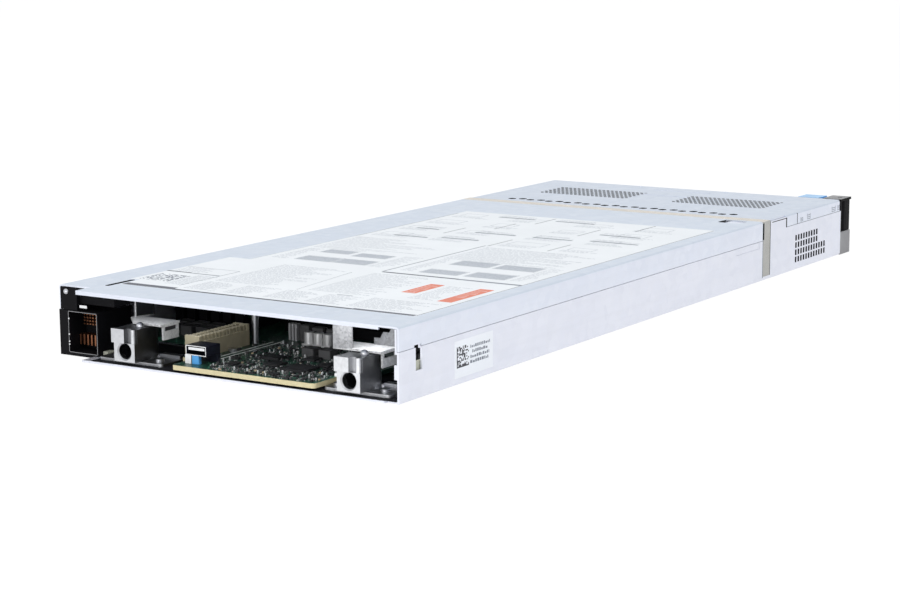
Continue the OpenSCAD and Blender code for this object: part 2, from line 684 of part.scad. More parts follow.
dimm_socket_w = 6.4;
dimm_socket_h = 7;
dimm_sink = 5;                           // how deep a module sits in its socket
dimm_t = 1.3;
dimm_chip_w = 8;
dimm_chip_pitch = 13.6;
dimm_end = 8;                            // free end of a module beyond its last chip
dimm_chips = floor((dimm_l / 2 - dimm_chip_w / 2 - dimm_end) / dimm_chip_pitch);
latch_h = 18;
bank_x = sink_w / 2 + 3.5;
bank_edge = 9.2;                         // from the outermost socket's place to the board's edge
dimm_pitch = (board_side_x - bank_edge - bank_x) / dimm_count;
dimm_x = [for (s = [-1, 1], i = [0:dimm_count - 1]) s * (bank_x + dimm_pitch * (i + 0.5))];

module dimm_sockets() color("#222222")
    for (x = dimm_x, y = zone_y) translate([x, y, board_top]) difference() {
        along_x(-dimm_socket_w / 2, dimm_socket_w / 2)
            polygon([[-dimm_l / 2 - socket_over, 0], [dimm_l / 2 + socket_over, 0],
                     [dimm_l / 2 + socket_over, latch_h - 3], [dimm_l / 2 + socket_over - 2, latch_h],
                     [dimm_l / 2 + 0.2, latch_h], [dimm_l / 2 + 0.2, dimm_socket_h],
                     [-dimm_l / 2 - 0.2, dimm_socket_h], [-dimm_l / 2 - 0.2, latch_h],
                     [-dimm_l / 2 - socket_over + 2, latch_h], [-dimm_l / 2 - socket_over, latch_h - 3]]);
        block([-dimm_t / 2, dimm_t / 2], [-dimm_l / 2, dimm_l / 2],
              [dimm_socket_h - dimm_sink, dimm_socket_h + 1]);
    }

module memory_modules() color("seagreen")
    for (x = dimm_x, y = zone_y)
        translate([x, y, board_top + dimm_socket_h - dimm_sink]) {
            block([-dimm_t / 2, dimm_t / 2], [-dimm_l / 2, dimm_l / 2], [0, dimm_h]);
            for (i = [-dimm_chips:dimm_chips])
                block([-dimm_t / 2 - 1, dimm_t / 2 + 1],
                      [i * dimm_chip_pitch - dimm_chip_w / 2, i * dimm_chip_pitch + dimm_chip_w / 2],
                      [dimm_sink + 7, dimm_h - 8]);
        }

// ---------------------------------------------------------------- rear connectors

guide_face = 1.9;                        // set-back of the guide's face from the rear edge
guide_z = floor_z + guide_flange_t;
guide_top = guide_z + guide_h;
nose_size = [9.6, 8.2];
nose_over = 1.2;                         // how far the nose passes the side of the body
pillar_r = 1.9;
flange_l = 24;                           // depth of the flange
flange_inner_l = 15;                     // depth of the wing beside the tongue
flange_y = rear_y - 6.5;
guide_back_y = rear_y - guide_face - guide_l + guide_w / 2;
guide_screw_at = [-4.6, 11];
bracket_t = 1.2;
shelf_z = guide_top + 0.6;

module guide_block(x, left, left_l) difference() {
    right = flange_out;
    union() {
        translate([x + (guide_w / 2 - right) / 2, flange_y - flange_l / 2, floor_z])
            linear_extrude(height = guide_flange_t) round_rect(guide_w / 2 + right, flange_l, 3);
        translate([x + left / 2, flange_y - left_l / 2, floor_z])
            linear_extrude(height = guide_flange_t) round_rect(left, left_l, 3);
        // rib along the back of the flange
        block([x - right + 1.5, x - guide_w / 2], [flange_y - flange_l + 1, flange_y - flange_l + 6],
              [guide_z, guide_z + 1.8]);
        // body with a round back
        translate([x, 0, guide_z]) linear_extrude(height = guide_h) {
            translate([-guide_w / 2, guide_back_y])
                square([guide_w, guide_l - guide_w / 2]);
            translate([0, guide_back_y]) circle(guide_w / 2);
        }
        // nose over the socket
        block([x + guide_w / 2 + nose_over - nose_size[0], x + guide_w / 2 + nose_over],
              [rear_y - guide_face - 3, rear_y - board_edge], [guide_top - nose_size[1], guide_top]);
        // collar that runs the body into the flange
        translate([x, guide_back_y, guide_z - 0.2])
            cylinder(r1 = guide_w / 2 + 1.6, r2 = guide_w / 2, h = 2.4);
        // seat of the bracket's shelf
        translate([x, guide_back_y, guide_top - 1]) cylinder(r = 4, h = shelf_z - guide_top + 1);
    }
    // recess beside the nose, with a round pillar at the corner
    difference() {
        block([x - guide_w / 2 - 1, x + guide_w / 2 + nose_over - nose_size[0]],
              [rear_y - guide_face - 2.6, rear_y], [guide_top - nose_size[1], guide_top + 1]);
        translate([x - guide_w / 2 + pillar_r, rear_y - guide_face - pillar_r, guide_z])
            cylinder(r = pillar_r, h = guide_h);
    }
    // socket with a lead-in
    translate([x, rear_y - guide_face + 1, guide_axis_z]) rotate([90, 0, 0])
        cylinder(r = guide_bore_r, h = guide_bore_l + 1);
    translate([x, rear_y - guide_face + 0.01, guide_axis_z]) rotate([90, 0, 0])
        cylinder(r1 = guide_bore_r + 0.8, r2 = guide_bore_r, h = 0.8);
    // screw holes in the flange and in the top
    for (s = [-1, 1])
        translate([x + s * flange_screw_x, flange_y - 8, floor_z - 1])
            cylinder(r = screw_r + 0.05, h = guide_flange_t + 2);
    translate([x + guide_screw_at[0], rear_y - guide_screw_at[1], guide_top - 4])
        cylinder(r = screw_r + 0.05, h = 5);
}

flange_screw_x = flange_in - 5;

module guide_block_left() color("silver") guide_block(guide_left_x, flange_out, flange_l);
module guide_block_right() color("silver") guide_block(guide_right_x, flange_in, flange_inner_l);

// A round-headed screw with its head upwards, its ball sunk by a part of its radius
module dome_screw(r, head_r, sunk, shank) {
    translate([0, 0, -shank]) cylinder(r = r, h = shank + head_r / 4);
    difference() {
        translate([0, 0, head_r * (1 - 2 * sunk)]) sphere(r = head_r);
        translate([-2 * head_r, -2 * head_r, -3 * head_r]) cube([4 * head_r, 4 * head_r, 3 * head_r]);
    }
}

module guide_screws() color("gainsboro") {
    for (x = [guide_left_x, guide_right_x]) {
        translate([x + guide_screw_at[0], rear_y - guide_screw_at[1], guide_top])
            dome_screw(screw_r, 2.3, 0.3, 3.5);
        for (s = [-1, 1])
            translate([x + s * flange_screw_x, flange_y - 8, guide_z]) {
                translate([0, 0, -guide_flange_t]) cylinder(r = screw_r, h = guide_flange_t + 0.2);
                cylinder(r = 2.8, h = 1.4);
            }
    }
    translate([side_x - pin_at[0], shroud_y + plate_t, pin_at[1]]) rotate([-90, 0, 0])
        dome_screw(pin_at[2], pin_at[2] + 0.4, 0.65, 6);
}

// Shelf that carries a mezzanine card, with a slotted tab folded down at its right end
module mezz_shelf(x0, x1) {
    translate([0, 0, shelf_z]) linear_extrude(height = bracket_t)
        polygon([[x0, rear_y - shelf_in[1]], [x1, rear_y - shelf_in[1]],
                 [x1, rear_y - shelf_in[0] - shelf_cut], [x1 - shelf_cut, rear_y - shelf_in[0]],
                 [x0, rear_y - shelf_in[0]]]);
    difference() {
        block([x0, x0 + bracket_t], [rear_y - shelf_in[1] + 1, rear_y - shelf_in[0] - 2],
              [shelf_z - shelf_tab, shelf_z + bracket_t]);
        block([x0 - 1, x0 + bracket_t + 1], [rear_y - shelf_in[1] + 2.5, rear_y - shelf_in[0] - 3.5],
              [shelf_z - 3.2, shelf_z - 0.6]);
    }
}

shelf_in = [15.5, 32.5];                   // from the rear edge to the front and back of a shelf
shelf_w = 32;
shelf_cut = 11;                          // the corner cut off beside the guide's screw
shelf_tab = 8.2;
bracket_top = cover_z - 2.4;

module mezz_bracket_left() color("silver") {
    x1 = guide_left_x + shelf_w / 2 - 0.5;
    mezz_shelf(x1 - shelf_w, x1);
    block([x1 - bracket_t, x1], [rear_y - shelf_in[1] - 14, rear_y - shelf_in[1] + 2.5],
          [shelf_z, bracket_top]);
}

module mezz_bracket_right() color("silver") {
    x0 = guide_right_x - 12;
    ear_y = rear_y - shelf_in[0];
    mezz_shelf(x0, x0 + shelf_w);
    block([guide_right_x + 6, guide_right_x + 18], [ear_y - shelf_cut, ear_y], [shelf_z, shelf_z + bracket_t]);
    difference() {
        block([guide_right_x + 7, guide_right_x + 19.5], [ear_y - bracket_t, ear_y], [shelf_z, bracket_top]);
        block([guide_right_x + 11.5, guide_right_x + 18], [ear_y - 2, ear_y + 1],
              [bracket_top - 1.6, bracket_top + 1]);
    }
    // hooked retainer at the back of the shelf
    along_y(rear_y - shelf_in[1], rear_y - shelf_in[1] + bracket_t)
        polygon([[x0, shelf_z], [x0 + 15, shelf_z], [x0 + 15, shelf_z + 5], [x0 + 11, shelf_z + 5],
                 [x0 + 9, shelf_z + 8.6], [x0 + 5, shelf_z + 8.6], [x0 + 3.6, shelf_z + 11],
                 [x0, shelf_z + 11]]);
}

shroud_x = [side_x - 29.6, low_wall_x - 0.4];
shroud_top = cover_seam_z - slide_gap - tray_t;
shroud_y = rear_y - notch_d;
shroud_l = 30;
plate_t = 0.8;                           // face plates over the cut edges of the wall
power_x = [side_x - 29.1, side_x - 6.9];
power_z = [floor_z + 0.8, shroud_top - 0.5];
shell_t = 0.5;

module connector_shroud() color("#1c1c1c") difference() {
    union() {
        block(shroud_x, [shroud_y - shroud_l, shroud_y], [floor_z, shroud_top]);
        block([shroud_x[0], side_x], [shroud_y, shroud_y + plate_t], [floor_z, shroud_top]);
        block([side_x - notch_w, side_x], [shroud_y, shroud_y + plate_t], [0, floor_z]);
    }
    block(power_x, [shroud_y - shroud_l - 1, shroud_y + plate_t + 1], power_z);
}

module power_connector() color("#262626") difference() {
    block(power_x, [shroud_y - shroud_l + 4, shroud_y + plate_t], power_z);
    block([power_x[0] + shell_t, power_x[1] - shell_t], [shroud_y - 14, shroud_y + plate_t + 1],
          [power_z[0] + shell_t, power_z[1] - shell_t]);
}

pin_pitch = [2.2, 1.9];
blade_pitch = 2.9;

module power_contacts() color("darkorange") {
    back = shroud_y - 14;
    // signal pins over power blades
    for (row = [0:3], col = [0:4])
        block([power_x[0] + 8.1 + col * pin_pitch[0], power_x[0] + 9 + col * pin_pitch[0]],
              [back, back + 6],
              [power_z[1] - 3.3 - row * pin_pitch[1], power_z[1] - 2.5 - row * pin_pitch[1]]);
    for (i = [0:4])
        block([power_x[0] + 8.3 + i * blade_pitch, power_x[0] + 9.4 + i * blade_pitch], [back, back + 6.6],
              [power_z[0] + 3.4, power_z[0] + 9.8]);
}

bracket_z = cover_seam_z - 1.2;
bracket_w = [14, 40.5];                  // reach of the block and of its arm from the left side
pin_at = [5.8, 38.3, 1.45];              // pin: from the left side, height, radius

module corner_bracket() color("#202020") difference() {
    union() {
        block([side_x - bracket_w[0], wall_in_x], [shroud_y - 16, shroud_y], [shroud_top, cover_z - slide_gap]);
        block([side_x - bracket_w[0], side_x - joggle], [shroud_y, shroud_y + plate_t],
              [bracket_z, cover_z - slide_gap]);
        block([side_x - bracket_w[1], wall_in_x], [shroud_y - 16, shroud_y - 2],
              [cover_seam_z + 2.6, cover_z - slide_gap - 3]);
        block([side_x - bracket_w[1], wall_in_x], [shroud_y - 16, shroud_y - 4],
              [cover_z - slide_gap - 4, cover_z - slide_gap]);
    }
    translate([side_x - pin_at[0], shroud_y, pin_at[1]]) rotate([90, 0, 0])
        cylinder(r = pin_at[2] + pin_gap, h = 20, center = true);
}

mezz_x = tongue_x[1] + 2.2;
mezz_l = 47;
mezz_w = 10.6;
mezz_h = 12.8;
tooth_count = 13;
tooth_pitch = (mezz_l - 4) / tooth_count;
comb_h = 3.4;                            // how far the teeth rise over the housing

module mezz_connector() color("darkkhaki")
    translate([mezz_x, rear_y - board_step[0] - 2 - mezz_l, board_top]) difference() {
        union() {
            block([-mezz_w / 2, mezz_w / 2], [0, mezz_l], [0, mezz_h - comb_h]);
            for (y = [0, mezz_l - 2]) block([-mezz_w / 2, mezz_w / 2], [y, y + 2], [0, mezz_h]);
            // comb of teeth that guides the pins
            for (i = [0:tooth_count - 1])
                block([-mezz_w / 2 + 0.6, mezz_w / 2 - 0.6],
                      [2 + (i + 0.3) * tooth_pitch, 2 + (i + 0.8) * tooth_pitch], [0, mezz_h - 0.3]);
        }
        block([-1, 1], [2, mezz_l - 2], [mezz_h - comb_h, mezz_h + 1]);
    }

rear_usb = [tongue_x[1] - 19.4, rear_y - 8.5, 14.5, 13, 5.6];
rear_usb_z = board_top + 5.2;
front_usb_x = -side_x + 18.8;
micro_usb_x = -side_x + 7;
control_z = floor_z + 1.4;
control_t = 1.6;
port_size = [13.2, 14, 5.8];
micro_size = [7.6, 6, 2.9];

module port(w, l, h) {
    difference() {
        translate([-w / 2, 0, 0]) cube([w, l, h]);
        translate([-w / 2 + 0.4, -1, 0.4]) cube([w - 0.8, l - 1, h - 0.8]);
    }
    translate([-w / 2 + 1.4, 0.6, h / 2 + 0.1]) cube([w - 2.8, l - 0.6, h * 0.28]);
}

module usb_ports() color("whitesmoke") {
    translate([rear_usb[0] + rear_usb[2] / 2, rear_usb[1], rear_usb_z]) rotate([0, 0, 180])
        port(rear_usb[2], rear_usb[3], rear_usb[4]);
    // riser that lifts the rear port over the board
    block([rear_usb[0] + rear_usb[2] - 3.4, rear_usb[0] + rear_usb[2] + 1],
          [rear_usb[1] - 3.4, rear_usb[1] - 0.4], [board_top, rear_usb_z]);
    block([rear_usb[0], rear_usb[0] + rear_usb[2]],
          [rear_usb[1] - rear_usb[3], rear_usb[1] - rear_usb[3] + 2], [board_top, rear_usb_z]);
    translate([front_usb_x, front_y + 1.6, control_z + control_t])
        port(port_size[0], port_size[1], port_size[2]);
    translate([micro_usb_x, front_y + 1.6, control_z + control_t])
        port(micro_size[0], micro_size[1], micro_size[2]);
}

module blue_clip() color("dodgerblue") {
    x = rear_usb[0] + rear_usb[2] - 8.5;
    block([x, x + 4.8], [rear_usb[1] - 3.2, rear_usb[1] - 0.8], [board_top, rear_usb_z]);
}

can_r = 3.1;
can_h = 7.8;
can_pitch = 7;
can_at = [for (i = [0:2]) [tongue_x[1] - tongue_w * 0.33 - i * can_pitch, zone_rear_y + socket_over + 12]];

module capacitors() color("silver")
    for (p = can_at) translate([p[0], p[1], board_top]) {
        translate([-3.3, -3.3, 0]) cube([6.6, 6.6, 1]);
        cylinder(r = can_r, h = can_h);
    }

coil_size = 8.6;
coil_pitch = coil_size + 3.4;
coil_row_pitch = coil_size + 2.4;
coil_in = 28.8;                          // from the board's edges to the outermost coils

module power_coils() color("#3a3a3a") {
    for (x = concat([for (i = [0:1]) i * coil_pitch + coil_in - board_side_x],
                    [for (i = [0:3]) board_side_x - coil_in - i * coil_pitch]), row = [0, 1])
        translate([x, tongue_root_y - 16 - row * coil_row_pitch, board_top])
            linear_extrude(height = coil_size * 0.7) round_rect(coil_size, coil_size, 1);
    // two more at the root of the tongue, behind the capacitors
    for (i = [0, 1])
        translate([tongue_x[0] + tongue_w * 0.46 - i * coil_pitch, tongue_root_y, board_top])
            linear_extrude(height = coil_size * 0.6) round_rect(coil_size, coil_size, 1);
}

// Chips: place across and along the tongue as shares of its size, then width, length and height
chip_at = [[0.287, 0.426, 17, 15, 1.6], [0.486, 0.49, 10, 10, 1.4], [0.7, 0.3, 6, 8, 1.2],
           [0.327, 0.13, 5, 4, 1], [0.6, 0.72, 12, 9, 1.6], [0.386, 0.85, 8, 8, 1.3],
           [0.2, 0.68, 6, 9, 1.4]];

module board_chips() color("#181818")
    for (c = chip_at)
        translate([tongue_x[0] + c[0] * tongue_w, rear_y - board_edge - c[1] * tongue_l, board_top])
            linear_extrude(height = c[4]) square([c[2], c[3]], center = true);

// Cards in front of the memory: storage card at the left, coin cell, boot card at the right
card_gap = 4.3;
card_l = 48;
card_y = zone_front_y - card_gap - card_l / 2;
card_z = board_top + 9;
card_t = 1.6;
cell_r = 10;
cell_box = [2 * cell_r + 6, 2 * cell_r + 4, 3.6];
cell_x = -4;
storage_x = [cell_x + cell_box[0] / 2 + 4.1, board_side_x - 16];
boot_x = [14 - board_side_x, cell_x - cell_box[0] / 2 - 10.1];
card_sink = [24, 24, 3];
card_fin_pitch = 4.4;

module storage_controller() color("darkgreen") {
    x = (storage_x[0] + storage_x[1]) / 2;
    w = (storage_x[1] - storage_x[0]) / 2;
    block(storage_x, [card_y - card_l / 2, card_y + card_l / 2], [card_z, card_z + card_t]);
    block([x - w * 0.65, x + w * 0.65], [card_y + card_l / 4, card_y + card_l / 4 + 8],
          [board_top, card_z]);
    translate([x - card_sink[0] / 2, card_y - 4, card_z + card_t]) {
        cube(card_sink);
        for (i = [0:5]) translate([i * card_fin_pitch, 0, 0]) cube([1.4, card_sink[1], 10]);
    }
    for (s = [-1, 1])
        translate([x + s * (w - 5), card_y - card_l / 2 + 5, board_top])
            cylinder(r = 2.4, h = card_z - board_top);
}

boot_z = [3, 28];                        // over the board
boot_chip_z = [8, 24];

module boot_card() color("seagreen") {
    x = (boot_x[0] + boot_x[1]) / 2;
    w = (boot_x[1] - boot_x[0]) / 2;
    block(boot_x, [card_y - 2, card_y - 2 + card_t], [board_top + boot_z[0], board_top + boot_z[1]]);
    block([boot_x[0] + 4, boot_x[1] - 4], [card_y - 4.4, card_y + 2],
          [board_top, board_top + boot_z[0]]);
    for (s = [-1, 1])
        block([x + s * w / 2 - w * 0.27, x + s * w / 2 + w * 0.27],
              [card_y - 2 + card_t, card_y + 1.8],
              [board_top + boot_chip_z[0], board_top + boot_chip_z[1]]);
}

module coin_cell() color("gainsboro")
    translate([cell_x, card_y, board_top]) {
        difference() {
            translate([-cell_box[0] / 2, -cell_box[1] / 2, 0]) cube(cell_box);
            translate([0, 0, 1]) cylinder(r = cell_r + 0.3, h = 4);
        }
        translate([0, 0, 1]) cylinder(r = cell_r, h = 3.2);
    }

// ---------------------------------------------------------------- front panel

panel_x = [-side_x, channel_x - 0.15];
panel_top_t = 1.8;
panel_wall = 1.6;
housing_back_t = 2;
hood_w = 15;
pivot = [-side_x + 5, front_y + 10];
handle_z = [panel_base_h + slide_gap, sled_h - panel_top_t - slide_gap];
pin_hold = 0.02;
power_r = 3.2;
power_at = [-side_x + 6.4, 12];

control_in = 5;                          // board from the panel's front
control_reach = 60;                      // and how far it reaches behind the cage's front
control_hole = [12, 50];
control_post_y = [10, 40];
control_post_in = 20;
control_post_r = 2.2;

module control_board() color("darkgreen") {
    x = [-side_x + 3, channel_x - 3];
    difference() {
        block(x, [front_y + control_in, cage_front_y + control_reach], [control_z, control_z + control_t]);
        translate([control_hole[0] - side_x, cage_front_y + control_hole[1], control_z - 1])
            cylinder(r = screw_r, h = control_t + 2);
    }
    for (y = control_post_y)
        translate([control_post_in - side_x, cage_front_y + y, floor_z])
            cylinder(r = control_post_r, h = control_z - floor_z);
}

module panel_base() color("gray") difference() {
    block(panel_x, [front_y + 1.2, cage_front_y], [0, panel_base_h]);
    // hollow behind the face
    block([panel_x[0] + panel_wall, panel_x[1] - panel_wall], [front_y + 1.2 + 2.4, cage_front_y + 1],
          [floor_z + 0.2, panel_base_h - 5.4]);
    translate([front_usb_x - port_size[0] / 2 - 0.1, front_y, control_z + control_t - 0.1])
        cube([port_size[0] + 0.2, 6, port_size[2] + 0.2]);
    translate([micro_usb_x - micro_size[0] / 2 - 0.1, front_y, control_z + control_t - 0.1])
        cube([micro_size[0] + 0.2, 6, micro_size[2] + 0.2]);
    // bore of the power button, blind
    translate([power_at[0], front_y + 8.4, power_at[1]]) rotate([90, 0, 0])
        cylinder(r = power_r + 0.1, h = 12);
    // seat of the handle's pin
    translate([pivot[0], pivot[1], panel_base_h - 4.6])
        cylinder(r = handle_pin_r + pin_hold, h = 6);
}

module power_button() color("whitesmoke")
    difference() {
        translate([power_at[0], front_y + 6.8, power_at[1]]) rotate([90, 0, 0])
            cylinder(r = power_r, h = 6.2);
        translate([power_at[0], front_y + 0.6 - 6.6, power_at[1]]) sphere(r = 7, $fn = 48);
    }

module panel_housing() color("#2a2724") difference() {
    union() {
        // the back stays under the path of the release's touch cap
        block(panel_x, [cage_front_y - housing_back_t, cage_front_y], [panel_base_h, cap_z - slide_gap]);
        block([panel_x[0], panel_x[0] + hood_w], [front_y, cage_front_y], [sled_h - panel_top_t, sled_h]);
        block([panel_x[0], panel_x[0] + hood_w], [cage_front_y - housing_back_t, cage_front_y],
              [panel_base_h, sled_h]);
    }
    translate([pivot[0], pivot[1], sled_h - panel_top_t - 1])
        cylinder(r = handle_pin_r + pin_hold, h = panel_top_t + 2);
}

module handle_pin() color("silver")
    translate([pivot[0], pivot[1], panel_base_h - 4.5])
        cylinder(r = handle_pin_r, h = sled_h - panel_base_h + 4.3);

arm_y = [front_y + 4.6, front_y + 8.6];
arm_x = [-side_x + 13, -side_x + 27.6];
release_x = [-side_x + 15.4, -side_x + 28.2];
stem_r = 1.1;
release_wrap = 2.3;
cap_x = [pivot[0] + norm([hood_w - 5, 10]) + slide_gap, -side_x + 36];
cap_z = upper_z + carrier_h + slide_gap; // the cap passes over the upper drives

module handle() color("#2a2724") difference() {
    union() {
        // root with its ejector nose
        translate([0, 0, handle_z[0]]) linear_extrude(height = handle_z[1] - handle_z[0]) {
            translate(pivot) circle(4.4);
            translate([-side_x + 2.5, front_y]) square([12.5, 9]);
            translate([-side_x + 0.6, front_y + 2]) square([8, 6]);
            translate([-side_x + 2.6, front_y + 2]) circle(2);
            translate([-side_x + 2.6, front_y + 8]) circle(2);
        }
        block(arm_x, arm_y, [handle_z[0] + release_wrap + slide_gap, handle_z[1] - release_wrap - slide_gap]);
    }
    translate([pivot[0], pivot[1], handle_z[0] - 1])
        cylinder(r = handle_pin_r + pin_gap, h = handle_z[1] - handle_z[0] + 2);
    translate([(release_x[0] + release_x[1]) / 2, arm_y[1] + 1, (handle_z[0] + handle_z[1]) / 2])
        rotate([90, 0, 0]) cylinder(r = stem_r + pin_gap, h = arm_y[1] - arm_y[0] + 2);
}

module handle_release() color("dodgerblue") {
    face_t = arm_y[0] - front_y - release_travel - slide_gap;
    y1 = front_y + 13;
    along_x(release_x[0], release_x[1])
        polygon([[front_y, handle_z[0]], [y1, handle_z[0]], [y1, handle_z[0] + release_wrap],
                 [front_y + face_t, handle_z[0] + release_wrap],
                 [front_y + face_t, handle_z[1] - release_wrap],
                 [y1, handle_z[1] - release_wrap], [y1, handle_z[1]], [front_y, handle_z[1]]]);
    // touch cap over the top, clear of the hood as the handle swings
    along_x(cap_x[0], cap_x[1])
        polygon([[front_y, cap_z], [cage_front_y - release_travel - slide_gap, cap_z],
                 [cage_front_y - release_travel - slide_gap, sled_h - 0.4],
                 [front_y + 1.2, sled_h - 0.4], [front_y, sled_h - 1.6]]);
    block([cap_x[0], release_x[1]], [front_y, front_y + face_t], [handle_z[1] - 1, cap_z + 0.4]);
    translate([(release_x[0] + release_x[1]) / 2, arm_y[1] - 0.4, (handle_z[0] + handle_z[1]) / 2])
        rotate([90, 0, 0]) cylinder(r = stem_r, h = arm_y[1] - front_y - 1);
}

// ---------------------------------------------------------------- nodes

base_tray();
seam_frame();
seam_gasket();
cage_top();
bay_dividers();
drive_backplane();
backplane_connectors();
system_board();
standoffs_and_screws();
cpu_sockets();
processors();
heatsinks();
dimm_sockets();
memory_modules();
power_connector();
power_contacts();
connector_shroud();
corner_bracket();
guide_block_left();
guide_block_right();
guide_screws();
mezz_bracket_left();
mezz_bracket_right();
mezz_connector();
usb_ports();
blue_clip();
capacitors();
power_coils();
board_chips();
storage_controller();
boot_card();
coin_cell();
control_board();
panel_housing();
panel_base();
handle_pin();
top_cover();
cover_latch();
handle();
handle_release();
power_button();
for (n = [1:6]) {
    drive_carrier(n);
    drive_lever(n);
    drive_button(n);
}
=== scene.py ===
import bpy, bmesh, math, random
from mathutils import Matrix, Vector


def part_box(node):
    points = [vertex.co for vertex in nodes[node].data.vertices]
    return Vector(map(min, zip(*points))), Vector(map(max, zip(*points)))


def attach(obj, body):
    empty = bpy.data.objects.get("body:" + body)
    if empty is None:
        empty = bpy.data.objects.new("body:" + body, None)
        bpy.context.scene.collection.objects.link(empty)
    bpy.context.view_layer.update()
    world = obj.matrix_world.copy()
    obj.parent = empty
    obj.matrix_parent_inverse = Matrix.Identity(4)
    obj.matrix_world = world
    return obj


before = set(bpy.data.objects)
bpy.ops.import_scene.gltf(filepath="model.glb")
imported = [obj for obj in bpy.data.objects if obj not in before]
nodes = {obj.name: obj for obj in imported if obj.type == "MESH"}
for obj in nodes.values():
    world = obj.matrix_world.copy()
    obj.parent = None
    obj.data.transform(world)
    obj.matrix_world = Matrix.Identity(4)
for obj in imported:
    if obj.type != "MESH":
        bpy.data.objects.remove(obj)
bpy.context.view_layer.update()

# A blade server sled, seen closed from above its connector end. The solids come packed; this script
# gives them their materials and adds what is printed on them, stuck to them or too fine for them.
#
# World axes are in metres: +Y points to the connector end, +Z up, and the long side that the camera
# sees faces -X. Places on the sled are given in millimetres as u, s and z: u from the side that
# faces +X, s from the connector end, z from the base.


random.seed(7)                           # the small print on the service label draws from this

# ------------------------------------------------------------------ places
MM = 0.001
cover_lo, cover_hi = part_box("top_cover")
cage_lo, cage_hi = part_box("cage_top")
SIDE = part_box("base_tray")[1].x          # half the width
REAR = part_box("base_tray")[1].y          # connector end
TOP = cover_hi.z
SEAM = cover_lo.y                        # front edge of the cover
FLOOR_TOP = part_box("seam_frame")[0].z
BOARD_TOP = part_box("system_board")[1].z

WIDTH = 2 * SIDE / MM                    # u of the side that the camera sees
COVER_Z = TOP / MM
BOARD_Z = BOARD_TOP / MM
SEAM_S = (REAR - SEAM) / MM

FILM = 0.03                              # thickness of a label, in millimetres
INK = 0.01                               # thickness of a print


def at(u, s):
    """X and Y of a place."""
    return SIDE - u * MM, REAR - s * MM


def area(u, s):
    """X and Y ranges between two places."""
    return (SIDE - u[1] * MM, SIDE - u[0] * MM), (REAR - s[1] * MM, REAR - s[0] * MM)


